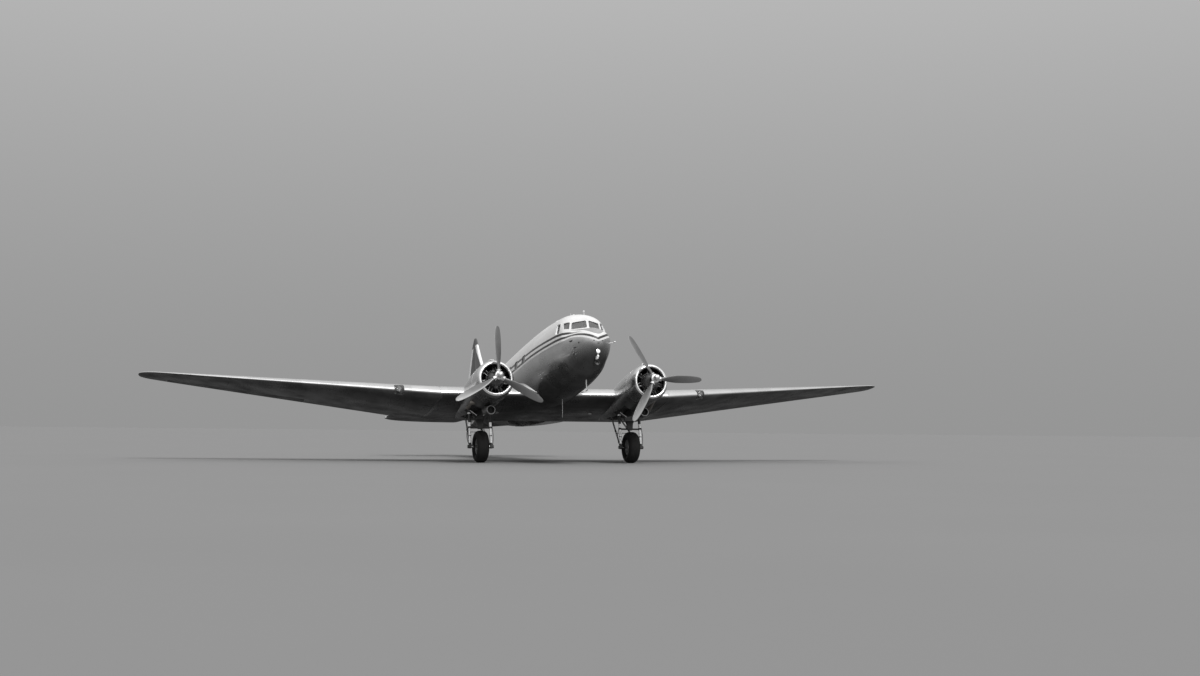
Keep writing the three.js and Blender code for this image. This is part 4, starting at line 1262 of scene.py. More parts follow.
    @staticmethod
    def outline(corners: Points, grow: float = 0.0, bend: float = 0.14, steps: int = 5) -> list[Vector]:
        """A quadrilateral with rounded corners.

        Args:
            corners: Its four corners.
            grow: How far it is pushed outwards.
            bend: Share of each side that a corner's curve takes.
            steps: Pieces of a corner's curve.

        Returns:
            The points, in order.
        """
        points = [Vector(c) for c in corners]
        middle = sum(points, Vector()) / len(points)
        points = [p + (p - middle).normalized() * grow for p in points]
        made = []
        for i, corner in enumerate(points):
            before = corner.lerp(points[i - 1], bend)
            after = corner.lerp(points[(i + 1) % len(points)], bend)
            for k in range(steps + 1):
                t = k / steps
                made.append(before * (1 - t) ** 2 + corner * 2 * t * (1 - t) + after * t**2)
        return made

    @staticmethod
    def facing(corners: Points) -> Vector:
        """The outward direction of a pane.

        Args:
            corners: Its four corners.

        Returns:
            The direction.
        """
        a, b, c, d = (Vector(p) for p in corners)
        normal = (c - a).cross(d - b).normalized()
        return normal if normal.x - normal.y > 0 else -normal

    def prism(self, corners: Points, grow: float, inner: float, outer: float, bend: float = 0.14) -> Draft:
        """A straight-sided block through the wall at a pane.

        Args:
            corners: The pane's corners.
            grow: How far its outline is pushed outwards.
            inner: How far in it starts.
            outer: How far out it ends.
            bend: Share of each side that a corner's curve takes.

        Returns:
            The block.
        """
        normal = self.facing(corners)
        line = self.outline(corners, grow, bend)
        return Draft().loft([[p + normal * depth for p in line] for depth in (inner, outer)])

    def surface(self, stations: Sequence[float]) -> BVHTree:
        """The outer surface, for laying trim on it."""
        draft = Draft().loft(self.rings(stations))
        return BVHTree.FromPolygons(draft.points, draft.faces)

    def rim(self, skin: BVHTree, corners: Points, grow: float, proud: float, bend: float = 0.14) -> Draft:
        """A raised frame laid on the hull round an opening.

        Args:
            skin: The hull's surface.
            corners: The opening's corners.
            grow: The frame's width.
            proud: How far it stands out.
            bend: Share of each side that a corner's curve takes.

        Returns:
            The frame.
        """
        normal, sunk = self.facing(corners), 0.006
        rings = []
        for pair in zip(self.outline(corners, 0.0, bend), self.outline(corners, grow, bend)):
            hits = [skin.ray_cast(point + normal * 0.6, -normal)[0] for point in pair]
            a, b = (point if hit is None else hit for hit, point in zip(hits, pair))
            rings.append([a - normal * sunk, a + normal * proud, b + normal * proud * 0.6, b - normal * sunk])
        return Draft().loft(rings, loop=True)

    def build_nose(self) -> None:
        """Makes the hollow nose with its cockpit windows."""
        palette = self.palette
        inner = self.rings(self.room_stations, self.wall)
        inner[-1] = [(x, y + self.room_end, z) for x, y, z in inner[-1]]
        room = Draft().loft([[(x, y, max(z, self.floor)) for x, y, z in ring] for ring in inner])
        openings, rims = Draft(), Draft()
        glazing: dict[str, Draft] = {}
        skin = self.surface(self.nose_stations())
        for name, corners in self.panes:
            block = self.prism(corners, 0.0, -0.2, 0.2)
            pane = self.prism(corners, 0.014, -0.034, -0.026)
            rim = self.rim(skin, corners, 0.019, 0.005)
            for side in Side:
                openings.join(block.sided(side))
                glazing[f"{name}_{side.word}"] = pane.sided(side)
                rims.join(rim.sided(side))
        nose = Draft().loft(self.rings(self.nose_stations()))
        Piece("nose_skin", nose, [palette.hull], stands_for=["nose_shell"], sharp=40).build(
            (room, palette.cockpit), (openings, palette.white))
        Piece("cockpit_window_frames", rims, [palette.white], slot="white_paint").build()
        for name, pane in glazing.items():
            glass = palette.side_glass if name.startswith("rear") else palette.glass
            Piece(f"{name}_glass", pane, [glass], slot="glass", stands_for=[name]).build()

    def window_corners(self, station: float, level: float, size: tuple[float, float]) -> Points:
        """Corners of a window in the port side, on the surface.

        Args:
            station: Station of its middle.
            level: Height of its middle.
            size: Its length and height.

        Returns:
            The corners.
        """
        half, tall = size[0] / 2, size[1] / 2
        spots = ((-half, -tall), (half, -tall), (half, tall), (-half, tall))
        return [(self.half_width(station + a, level + b), station + a, level + b) for a, b in spots]

    def build_cabin(self, door_cut: Draft) -> None:
        """Makes the cabin and tail cone with the row of windows.

        Args:
            door_cut: The pocket that the door closes.
        """
        palette, bend = self.palette, self.cabin_bend
        stations = spread(self.cabin_spans)
        skin = self.surface(stations)
        pockets, glass, rims = Draft(), Draft(), Draft()
        for i in range(self.cabin_windows):
            station = self.cabin_first + i * self.cabin_pitch
            corners = self.window_corners(station, self.cabin_level, self.cabin_size)
            pocket = self.prism(corners, 0.0, -0.035, 0.2, bend)
            pane = self.prism(corners, 0.0, -0.03, -0.014, bend)
            rim = self.rim(skin, corners, 0.016, 0.004, bend)
            for side in Side:
                pockets.join(pocket.sided(side))
                glass.join(pane.sided(side))
                rims.join(rim.sided(side))
        body = Draft().loft(self.rings(stations))
        # The window pockets and the door's gap are lined with near-black painted shade.
        Piece("cabin_skin", body, [palette.hull], stands_for=["fuselage"], sharp=40).build(
            (pockets, palette.cavity), (door_cut, palette.cavity))
        Piece("cabin_window_glass", glass, [palette.cabin_glass], slot="glass").build()
        Piece("cabin_window_frames", rims, [palette.sash]).build()

    def build_fillets(self, wing: "Wing") -> None:
        """Makes the fillets where the hull meets the wing.

        Args:
            wing: Gives the level of the wing's upper side.
        """
        stations = np.linspace(self.fillet[0][0], self.fillet[-1][0], 56)
        lift = 0.001
        rings = []
        for station, (radius,) in zip(stations, from_table(self.fillet, stations)):
            share = min(max((station - wing.lead) / wing.chord, 0.0), 1.0)
            top = wing.level(0.0, share, True) - 0.004
            base = (top + wing.level(0.0, share, False)) / 2
            side_x = self.half_width(station, top + radius)
            arc = [(side_x + radius * (1 - sin(a)), station, top + radius * (1 - cos(a)) + lift)
                   for a in (pi / 2 * k / 16 for k in range(17))]
            rings.append([(side_x - 0.2, station, base), (side_x + radius, station, base), *arc,
                          (side_x - 0.2, station, top + radius + lift)])
        for side in Side:
            side_piece(side, "wing_fillet", Draft().loft(rings).sided(side), [self.palette.fillet], sharp=50)

    def build_lamps(self) -> None:
        """Makes the two lamps under the nose, with their bracket."""
        upper, lower = ((0, 0, level) for level in self.lamp_levels)
        lamp = Draft().turn(rounded(self.lamp_bowl, 3), 28, upper)
        lamp.turn(self.lamp_rim, 28, upper, mark=1, loop=True)
        lamp.turn(self.lower_lamp, 20, lower).block((-0.03, 0.16, 0.13), (0.03, 0.33, 0.225), 0.012)
        lamp.block((-0.018, 0.13, 0.2), (0.018, 0.3, 0.35), 0.004, 1)
        Piece("nose_lamps", lamp, [self.palette.lit, self.palette.chrome], slot="lamp",
              stands_for=["nose_lamp"]).build()

    def build_vents(self) -> None:
        """Makes the round vent, the two holes and the slot in the nose."""
        # The vent, the holes and the slot are black solids: painted shade of openings.
        vents = Draft().turn(self.vent, 28, (0, 0.06, 0.02))
        for x in (-0.145, 0.145):
            vents.turn(self.hole, 16, (x, 0.016, 0.722))
        vents.block((-0.04, 0.01, 0.615), (0.04, 0.06, 0.645), 0.008)
        Piece("nose_vents", vents, [self.palette.black], slot="dark_paint").build()

    def build_pitot(self) -> None:
        """Makes the pitot head under the nose: a mast of three tubes and a probe."""
        at, level = self.pitot_station, self.pitot_level
        pitot = Draft().tube([(0, at, -0.2), (0, at, -0.42), (0, at - 0.005, -0.64)], 0.021, 16)
        for dy in (-0.012, 0.012):
            pitot.tube([(0, at + dy, -0.22), (0, at + dy, -0.62)], 0.012, 10)
        pitot.tube([(0, 1.7, level), (0, 1.66, level)], 0.006, 14, end=0.018)
        pitot.tube([(0, 1.66, level), (0, 1.46, level)], 0.018, 16)
        pitot.tube([(0, 1.46, level), (0, 1.4, level)], 0.018, 16, end=0.009)
        Piece("pitot_head", pitot, [self.palette.silver], slot="steel", stands_for=["pitot_mast"]).build()

    def build_loop(self) -> None:
        """Makes the loop aerial's housing and its pylon on the crown."""
        stations = np.linspace(self.housing[0][0], self.housing[-1][0], 26)
        loop = Draft().loft([
            [(wide * cos(a), station, self.housing_level + tall * sin(a)) for a in around(28)]
            for station, (wide, tall) in zip(stations, from_table(self.housing, stations))
        ])
        foot = [(1, i) for i in range(9)] + [(-1, i) for i in range(7, 0, -1)]
        loop.loft([
            [(0.03 * sin(pi * (i / 8)) * s, 4.5 + 0.34 * i / 8, z) for s, i in foot] for z in (2.28, 2.4)
        ])
        Piece("loop_housing", loop, [self.palette.white], slot="white_paint", stands_for=["loop_aerial"],
              sharp=40).build()

    def build_whips(self) -> None:
        """Makes the whip aerials, each on its foot, and the small dome."""
        masts = Draft()
        for station, foot, top, radius, bead in self.whips:
            reach = top - foot
            sweep = 0.12 * abs(reach)
            bend, tip = (0, station + 0.4 * sweep, foot + 0.5 * reach), (0, station + sweep, top)
            masts.tube([(0, station, foot), bend, tip], radius, 10, end=radius * 0.5)
            way = 1 if reach > 0 else -1
            plug = ((0.0, -0.02), (radius * 3, -0.02), (radius * 2.4, 0.015), (0.0, 0.03))
            masts.turn([(r, z * way) for r, z in plug], 14, (0, station, foot), "Z")
            if bead:
                masts.turn(ball(bead, 1.7 * bead), 14, tip)
        dome = [(0.06 * cos(a), 0.07 * sin(a)) for a in (pi / 2 * k / 6 for k in range(7))]
        masts.turn([(0.0, -0.03), (0.06, -0.03), *dome], 20, (0, 2.65, 2.225), "Z")
        Piece("whip_aerials", masts, [self.palette.white], slot="white_paint").build()

    def build_marks(self) -> None:
        """Makes the small oval vents on the starboard side of the nose."""
        marks = Draft()
        skin = self.surface(self.nose_stations())
        normal, up = Vector((1.0, -0.55, 0.0)).normalized(), Vector((0.0, 0.0, 1.0))
        across = up.cross(normal).normalized()
        for station, level, long, tall in self.nose_marks:
            middle = skin.ray_cast(Vector((0.0, station, level)) + normal * 3, -normal)[0]
            rings = []
            for depth, grow in ((-0.03, 0.005), (0.004, 0.005), (0.009, 0.0)):
                base, wide, high = middle + normal * depth, across * (long / 2 + grow), tall / 2 + grow
                rings.append([base + wide * cos(a) + up * (high * sin(a)) for a in around(16)])
            marks.loft(rings)
        Piece("nose_side_vents", marks.sided(Side.STARBOARD), [self.palette.black], slot="dark_paint").build()

    def build_probe(self) -> None:
        """Makes the temperature probe beside the nose."""
        probe = Draft().tube([(0.44, 0.3, 0.7), (0.56, 0.22, 0.7), (0.6, 0.12, 0.7)], 0.012, 10)
        probe.turn(ball(0.028, 0.045), 14, (0.6, 0.1, 0.7))
        Piece("temperature_probe", probe, [self.palette.white], slot="white_paint").build()

    def build(self, door_cut: Draft, wing: "Wing") -> None:
        """Makes the whole hull but the door.

        Args:
            door_cut: The pocket that the door closes.
            wing: Gives the level of the wing's upper side.
        """
        self.build_nose()
        self.build_cabin(door_cut)
        self.build_fillets(wing)
        for make in (
            self.build_lamps, self.build_vents, self.build_pitot, self.build_loop, self.build_whips,
            self.build_marks, self.build_probe,
        ):
            make()


@dataclass
class CabinDoor:
    """The passenger door at port, with its hinge arms."""

    palette: Palette
    hull: Hull
    front: float = 12.05
    rear: float = 12.8
    sill: float = 0.7
    head: float = 2.02
    thickness: float = 0.05
    hinge: float = 12.035
    # How far inside the solid door's widest point its axis lies, and the heights of its hinges.
    hinge_depth: float = 0.018
    hinge_levels: tuple[float, float] = (1.08, 1.65)
    running: float = 0.006
    handle_place: tuple[float, float] = (12.68, 1.3)
    window_place: tuple[float, float] = (12.42, 1.45)
    window_size: tuple[float, float] = (0.3, 0.3)

    def sheet(self, room: float, outer: float, inner: float) -> Draft:
        """The door's curved slab.

        Args:
            room: How far its edges are pushed outwards.
            outer: Offset of its outer face from the hull's surface.
            inner: Offset of its inner face.

        Returns:
            The slab.
        """
        levels = np.linspace(self.sill - room, self.head + room, 26)
        rings = []
        for station in np.linspace(self.front - room, self.rear + room, 8):
            rows = [(self.hull.half_width(station, z), z) for z in levels]
            face = [(x + outer, station, z) for x, z in rows]
            rings.append(face + [(x + inner, station, z) for x, z in reversed(rows)])
        return Draft().loft(rings)

    def pocket(self) -> Draft:
        """The room that the door closes in the hull."""
        return self.sheet(self.running, 0.3, -self.thickness - self.running)

    def build(self) -> None:
        """Makes the leaf, its arms, its handle and its window."""
        palette, hull, hinge, front = self.palette, self.hull, self.hinge, self.front
        axis_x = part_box("cabin_door")[1].x - self.hinge_depth
        leaf = self.sheet(0.0, 0.0, -self.thickness)
        Piece("door_leaf", leaf, [palette.hull], "cabin_door", stands_for=["cabin_door"], sharp=40).build()
        arms, brackets = Draft(), Draft()
        for level in self.hinge_levels:
            foot, top = hull.half_width(front, level + 0.02) - 0.014, level + 0.04
            arms.block((axis_x - 0.006, hinge - 0.014, level), (axis_x + 0.01, front + 0.012, top), 0.003)
            arms.block((foot, front + 0.004, level), (axis_x + 0.012, front + 0.06, top), 0.004)
            arms.turn(stub(0.007, -0.048, 0.05), 16, (axis_x, hinge - 0.009, level), "Z")
            low, high = (foot, hinge - 0.021, level - 0.06), (axis_x + 0.008, hinge - 0.001, level - 0.002)
            brackets.block(low, high, 0.002)
        station, level = self.handle_place
        x = hull.half_width(station, level)
        low, high = (x - 0.01, station - 0.06, level - 0.01), (x + 0.022, station + 0.06, level + 0.015)
        arms.block(low, high, 0.006)
        Piece("door_fittings", arms, [palette.steel], "cabin_door", "steel").build()
        Piece("door_brackets", brackets, [palette.steel], slot="steel").build()
        pane = hull.prism(hull.window_corners(*self.window_place, self.window_size), 0.0, -0.01, 0.003, 0.25)
        Piece("door_window", pane, [palette.cabin_glass], "cabin_door", "glass").build()


@dataclass
class Cockpit:
    """What shows through the cockpit windows."""

    palette: Palette
    floor: float = 0.38
    seat_x: float = 0.37
    cushion_half: tuple[float, float, float] = (0.225, 0.21, 0.052)
    back_half: tuple[float, float, float] = (0.215, 0.3, 0.048)
    # Station and height over the floor of the middle of the cushion and of the back.
    cushion_place: tuple[float, float] = (2.24, 0.4)
    back_place: tuple[float, float] = (2.485, 0.75)
    # Rounding of a pad: over its edge, at its corners and on its faces, and the pull of its sides.
    pad_edge: float = 0.3
    pad_corner: float = 0.35
    pad_face: float = 0.6
    pad_crown: float = 0.22
    pad_pull: float = 0.05
    # The dials: how many along and down, the first one's place and the steps between them.
    dials: tuple[int, int] = (10, 3)
    dial_first: Point = (-0.46, 1.552, 1.18)
    dial_steps: tuple[float, float] = (0.102, 0.12)
    levers: int = 6
    wheel_radius: float = 0.16

    def pad(self, half: Point, steps: int = 20) -> Draft:
        """A stuffed pad, crowned on its faces, whose sides pull in between the corners.

        Args:
            half: Half its size along x, y and z, the last its thickness.
            steps: Rings over its thickness.

        Returns:
            The pad, about the origin.
        """
        rings = []
        for i in range(steps + 1):
            rise = pi * (i / steps - 0.5)
            flare, high = cos(rise) ** self.pad_edge, copysign(abs(sin(rise)) ** self.pad_face, rise)
            ring = []
            for turn in around(48):
                reach = flare * (1 - self.pad_pull * cos(2 * turn) ** 2)
                parts = (cos(turn), sin(turn))
                x, y = (copysign(abs(part) ** self.pad_corner, part) * reach for part in parts)
                crown = 1 - self.pad_crown * (x * x + y * y)
                ring.append((half[0] * x, half[1] * y, half[2] * high * crown))
            rings.append(ring)
        return Draft().loft(rings)

    def build_seat(self, side: Side) -> None:
        """Makes one seat: its steel frame, cushion and back.

        Args:
            side: The seat's side.
        """
        palette, floor = self.palette, self.floor
        x = side.value * self.seat_x
        seat = Draft().block((x - 0.225, 2.03, floor + 0.32), (x + 0.225, 2.47, floor + 0.352), 0.006)
        seat.block((x - 0.21, 2.53, floor + 0.34), (x + 0.21, 2.545, floor + 1.03), 0.006)
        for foot in (x - 0.17, x + 0.14):
            seat.block((foot, 2.1, floor + 0.001), (foot + 0.03, 2.46, floor + 0.325))
        for arm in (x - 0.265, x + 0.235):
            seat.block((arm, 2.15, floor + 0.62), (arm + 0.03, 2.5, floor + 0.65), 0.008)
            seat.tube([(arm + 0.015, 2.46, floor + 0.34), (arm + 0.015, 2.48, floor + 0.63)], 0.011, 10)
        side_piece(side, "seat_frame", seat, [palette.steel], slot="steel")
        for name, half, (station, level), lean, node in (
            ("seat_cushion", self.cushion_half, self.cushion_place, 0, "pilot_seat"),
            ("seat_back", self.back_half, self.back_place, 90, ""),
        ):
            place = Matrix.Translation((x, station, floor + level)) @ Matrix.Rotation(radians(lean), 4, "X")
            pad = Draft().join(self.pad(half), place)
            made = side_piece(side, name, pad, [palette.hide], node=node, slot="leather", sharp=60)

    def build_panel(self) -> None:
        """Makes the instrument panel with its hood, dials, pedestal and levers."""
        floor = self.floor
        panel = Draft().block((-0.56, 1.48, floor + 0.001), (0.56, 1.54, 1.265), 0.006)
        panel.block((-0.54, 1.44, 1.24), (0.54, 1.64, 1.275), 0.012)
        x, y, z = self.dial_first
        dial = ((0.0, 0.0), (0.04, 0.0), (0.044, -0.006), (0.044, -0.012))
        for i in range(self.dials[0]):
            for j in range(self.dials[1]):
                panel.turn(dial, 18, (x + i * self.dial_steps[0], y, z - j * self.dial_steps[1]), mark=1)
        panel.block((-0.09, 1.54, floor + 0.001), (0.09, 1.9, floor + 0.62), 0.01)
        for i in range(self.levers):
            lever = -0.065 + i * 0.026
            panel.tube([(lever, 1.72, floor + 0.6), (lever, 1.77, floor + 0.74)], 0.005, 8, 1)
        finishes = [self.palette.black, self.palette.dial]
        Piece("instrument_board", panel, finishes, slot="dark_paint", stands_for=["instrument_panel"]).build()

    def build(self) -> None:
        """Makes the seats, panel, control columns and rear wall."""
        palette, floor, grip = self.palette, self.floor, self.wheel_radius
        for side in Side:
            self.build_seat(side)
        self.build_panel()
        controls = Draft()
        for side in Side:
            x = side.value * self.seat_x
            controls.tube([(x, 1.62, floor), (x, 1.7, floor + 0.6)], 0.022, 12)
            turns = np.linspace(radians(150), radians(390), 22)
            controls.tube([(x + grip * cos(a), 1.72, floor + 0.62 + grip * sin(a)) for a in turns], 0.014, 10)
        Piece("control_columns", controls, [palette.black], slot="dark_paint").build()
        wall = Draft().block((-0.78, HULL_BREAK - 0.03, floor + 0.002), (0.78, HULL_BREAK - 0.012, 1.9))
        Piece("cockpit_rear_wall", wall, [palette.cockpit], slot="dark_paint").build()


# Wing


def sunk(at: float, depth: float) -> float:
    """How far fabric sinks at a place along the ribs that carry it."""
    return depth * abs(sin(pi * at / RIB_PITCH))


def control_ring(
    centre: Point, radius: float, reach: float, rear: float, fall: float = 0.0, hollow: float = 0.0,
    upright: bool = False,
) -> list[Vector]:
    """Section of a control surface: a round nose about its hinge and flat sides to the rear edge.

    Args:
        centre: The hinge line's point.
        radius: The nose radius.
        reach: Distance from the hinge to the rear edge.
        rear: Half thickness of the rear edge.
        fall: Slope of the middle line.
        hollow: How far the sides sink.
        upright: The surface stands, as a rudder does.

    Returns:
        The points, in order.
    """
    steps, flats = 10, 7
    line = [(cos(a) * radius, sin(a) * radius) for a in (pi / 2 + pi * i / steps for i in range(steps + 1))]
    side = [(reach * f, radius + (rear - radius) * f - hollow * sin(pi * f))
            for f in (i / flats for i in range(1, flats + 1))]
    line += [(aft, -high) for aft, high in side] + [(aft, high) for aft, high in reversed(side)]
    aft_way, up_way = Vector((0, 1, fall)), Vector((-1, 0, 0) if upright else (0, -fall, 1))
    return [Vector(centre) + aft_way * aft + up_way * high for aft, high in line]


@dataclass
class Wing:
    """Centre and outer wings with ailerons, split flaps and landing lamps."""

    palette: Palette
    lead: float = 5.03
    chord: float = 4.32
    height: float = -0.06
    # Thickness by the chord, and degrees between chord and thrust line, each at the joint and at the tip.
    thickness: tuple[float, float] = (0.15, 0.07)
    incidence: tuple[float, float] = (2.0, 0.5)
    centre_half: float = 4.27
    half_span: float = 14.48
    rise: float = 1.2
    camber: float = 0.02
    camber_peak: float = 0.2
    rear_edge: float = 0.004
    chord_steps: int = 30
    # Distance out, leading edge, trailing edge.
    plan: Points = (
        (4.27, 5.03, 9.35), (13.5, 7.59, 8.96), (14.05, 7.79, 8.9), (14.33, 7.99, 8.79), (14.44, 8.15, 8.66),
        (14.48, 8.29, 8.5),
    )
    # Where the outer wing's sections lie near its tip.
    tip_places: Sequence[float] = (14.37, 14.41, 14.44, 14.46, 14.475, 14.48)
    aileron_span: tuple[float, float] = (8.64, 13.48)
    aileron_spare: float = 0.07
    aileron_hinge: float = 0.78
    # Jack pad under the centre wing: distance out, station, radius, half height.
    jack_pad: Point = (1.8, 7.0, 0.068, 0.03)
    flap_front: float = 0.8
    flap_rear: float = 0.965
    flap_plate: float = 0.012
    # From the joint to the flap's end, and from the aileron to it.
    flap_gaps: tuple[float, float] = (0.07, 0.08)
    running: float = 0.006
    lamp_span: tuple[float, float] = (5.53, 5.86)
    lamp_depth: float = 0.17
    # The lamp's bowl and bulb, as radius and distance aft of the leading edge.
    bowl_front: Points = ((0.085, 0.06), (0.07, 0.1), (0.04, 0.13), (0.0, 0.14))
    bowl_rear: Points = ((0.0, 0.145), (0.045, 0.135), (0.076, 0.104), (0.09, 0.062))
    bulb: Points = ((0.0, 0.085), (0.014, 0.09), (0.016, 0.14), (0.0, 0.14))
    # The joint's cover strip: half width, bevel, thickness, and the share of the chord that it covers.
    strip: Point = (0.045, 0.005, 0.005, 0.79)

    def outward(self, x: float) -> float:
        """Share of the way from the joint to the tip."""
        return max((x - self.centre_half) / (self.half_span - self.centre_half), 0.0)

    def profile(self, x: float) -> Vector:
        """The section that is set at a distance out.

        Args:
            x: Distance out.

        Returns:
            Its thickness share and slope.
        """
        out, (thick, tip_thick), (lean, tip_lean) = self.outward(x), self.thickness, self.incidence
        slope = tan(radians(lean + (tip_lean - lean) * out))
        return Vector((thick + (tip_thick - thick) * min(out / 0.9, 1.0), slope))

    def shape(self, x: float) -> tuple[float, float, float, float, float]:
        """The section where the skin runs straight from the joint to where the tip begins.

        Args:
            x: Distance out.

        Returns:
            Its leading edge, chord, height, thickness share and slope.
        """
        inner, outer = self.plan[:2]
        lead, rear = self.lead, self.lead + self.chord
        thick, slope = self.profile(x)
        if x > outer[0]:
            lead, rear = (float(v) for v in from_table(self.plan[1:], [x])[0])
        elif x > inner[0]:
            share = (x - inner[0]) / (outer[0] - inner[0])
            lead, rear = (a + (b - a) * share for a, b in zip(inner[1:], outer[1:]))
            ends = [self.profile(at) * (back - front) for at, front, back in (inner, outer)]
            thick, slope = ends[0].lerp(ends[1], share) / (rear - lead)
        return lead, rear - lead, self.height + self.rise * self.outward(x), thick, slope

    def surface(self, share: float, thickness: float) -> tuple[float, float]:
        """The section's sides for a chord of 1.

        Args:
            share: Share of the chord.
            thickness: Its thickness.

        Returns:
            Upper and lower height.
        """
        x = min(max(share, 0.0), 1.0)
        half = 5 * thickness * (
            0.2969 * sqrt(x) - 0.126 * x - 0.3516 * x**2 + 0.2843 * x**3 - 0.1036 * x**4
        ) + self.rear_edge / 2 * x
        p, m = self.camber_peak, self.camber
        mean = m / p**2 * (2 * p * x - x * x) if x < p else m / (1 - p) ** 2 * (1 - 2 * p + 2 * p * x - x * x)
        return mean + half, mean - half

    def level(self, x: float, share: float, upper: bool) -> float:
        """Height of the wing's upper or lower side."""
        _, chord, height, thick, slope = self.shape(x)
        return height - slope * share * chord + self.surface(share, thick)[0 if upper else 1] * chord

    def ring(self, x: float, shares: Sequence[float]) -> Ring:
        """One section of the wing, over the top to the nose and back below.

        Args:
            x: Distance out.
            shares: Shares of the chord, from the tail to the nose.

        Returns:
            Its points.
        """
        lead, chord = self.shape(abs(x))[:2]
        over = [(x, lead + f * chord, self.level(abs(x), f, True)) for f in shares]
        under = [(x, lead + f * chord, self.level(abs(x), f, False)) for f in reversed(shares)]
        return over + under[1:]

    def shares(self) -> list[float]:
        """Shares of the chord from tail to nose, closer together at the nose."""
        return [(1 - sin(pi / 2 * i / self.chord_steps)) ** 1.25 for i in range(self.chord_steps)] + [0.0]

    def aileron_at(self, x: float) -> tuple[float, float, float, float, float]:
        """The aileron's section.

        Args:
            x: Distance out.

        Returns:
            Hinge station, middle height, nose radius, reach and fall.
        """
        lead, chord = self.shape(x)[:2]
        top, bottom = (self.level(x, self.aileron_hinge, upper) for upper in (True, False))
        hinge = lead + self.aileron_hinge * chord
        tail = (self.level(x, 1.0, True) + self.level(x, 1.0, False)) / 2
        middle, reach = (top + bottom) / 2, lead + chord - hinge
        return hinge, middle, (top - bottom) / 2, reach, (tail - middle) / reach

    def flap_at(self, x: float) -> tuple[float, float, float, float]:
        """The flap's section.

        Args:
            x: Distance out.

        Returns:
            Front, rear, front height and fall.
        """
        lead, chord = self.shape(x)[:2]
        front, rear = lead + self.flap_front * chord, lead + self.flap_rear * chord
        front_level = self.level(x, self.flap_front, False) + self.flap_plate
        rear_level = self.level(x, self.flap_rear, False) + self.flap_plate / 2
        return front, rear, front_level, (rear_level - front_level) / (rear - front)

    def flap_slot(self, start: float, stop: float) -> Draft:
        """The room under the trailing edge that a flap fills.

        Args:
            start: The flap's inner end.
            stop: Its outer end.

        Returns:
            The room.
        """
        rings, low = [], 0.4
        for x in (start - self.running, stop + self.running):
            front, rear, level, fall = self.flap_at(abs(start if x < start else stop))
            a, b = front - self.flap_plate - self.running, rear + self.running
            top = level + fall * (rear - front) + self.rear_edge + self.running
            rings.append([(x, a, level - low), (x, b, level - low), (x, b, top),
                          (x, a, level + self.flap_plate + self.running)])
        return Draft().loft(rings)

    def flap(self, start: float, stop: float) -> Draft:
        """One flap panel with its hinge line.

        Args:
            start: Its inner end.
            stop: Its outer end.

        Returns:
            The panel.
        """
        rings = []
        for x in np.linspace(start, stop, 2 + int(abs(stop - start) / RIB_PITCH)):
            front, rear, level, fall = self.flap_at(abs(x))
            rings.append(control_ring((x, front, level), self.flap_plate, rear - front, self.rear_edge, fall))
        return Draft().loft(rings)

    def aileron_line(self) -> tuple[Vector, Vector, Vector]:
        """Both ends of the port aileron's hinge line, and its direction."""
        start, stop = (Vector((x, *self.aileron_at(x)[:2])) for x in self.aileron_span)
        return start, stop, (stop - start).normalized()

    def squared(self, marks: Iterable[Vector], section: Callable[[float, Vector], list[Vector]]) -> Draft:
        """Skins a form that runs straight along the span, in sections square to the aileron's hinge line.

        Args:
            marks: The sections' places on the hinge line.
            section: Gives the form's section across the span at a distance out, for a mark.

        Returns:
            The form.
        """
        start, stop, along = self.aileron_line()
        rings = []
        for mark in marks:
            ends = (section(start.x - self.aileron_spare, mark), section(stop.x + self.aileron_spare, mark))
            rings.append([a.lerp(b, along.dot(mark - a) / along.dot(b - a)) for a, b in zip(*ends)])
        return Draft().loft(rings)

    def aileron_section(self, x: float, mark: Vector) -> list[Vector]:
        """The aileron's outline at a distance out, its fabric sunk as it is at a mark on the hinge line."""
        hinge, middle, radius, reach, fall = self.aileron_at(x)
        return control_ring((x, hinge, middle), radius, reach, 0.006, fall, sunk(mark.x, 0.006))

    def slot_section(self, x: float, _: Vector) -> list[Vector]:
        """The outline across the span of the aileron's notch.

        Args:
            x: Distance out.

        Returns:
            The points.
        """
        hinge, middle, radius, reach, _ = self.aileron_at(x)
        a, b, high = hinge - radius - self.running, hinge + reach + 0.3, 0.6
        return [Vector((x, y, middle + z)) for y, z in ((a, -high), (b, -high), (b, high), (a, high))]

    def aileron(self) -> Draft:
        """The port aileron, with its hinge pins.

        Returns:
            The aileron.
        """
        start, stop, along = self.aileron_line()
        body = self.squared([start.lerp(stop, t) for t in np.linspace(0, 1, 65)], self.aileron_section)
        for end, way in ((start, -along), (stop, along)):
            body.tube([end - way * 0.02, end + way * 0.034], 0.014, 14)
        return body

    def aileron_slot(self) -> Draft:
        """The notch in the trailing edge that the aileron fills."""
        start, stop, along = self.aileron_line()
        return self.squared([start - along * self.running, stop + along * self.running], self.slot_section)

    def lamp_rear(self) -> float:
        """Station of the rear end of the landing lamp's room."""
        return self.shape(self.lamp_span[1])[0] + self.lamp_depth

    def lens(self) -> Draft:
        """The landing lamp's clear nose piece.

        Returns:
            The lens.
        """
        start, stop = self.lamp_span
        spare, steps = 0.002, 12
        rings = []
        for x in np.linspace(start + spare, stop - spare, 9):
            lead, chord = self.shape(x)[:2]
            reach = (self.lamp_rear() - spare - lead) / chord
            rings.append(self.ring(x, [reach * (1 - i / steps) ** 1.6 for i in range(steps + 1)]))
        return Draft().loft(rings)

    def build_centre(self) -> None:
        """Makes the centre wing and its flap."""
        palette, half = self.palette, self.centre_half
        centre = Draft().loft([self.ring(x, self.shares()) for x in (-half, -half / 2, 0.0, half / 2, half)])
        flap_half = half - self.flap_gaps[0]
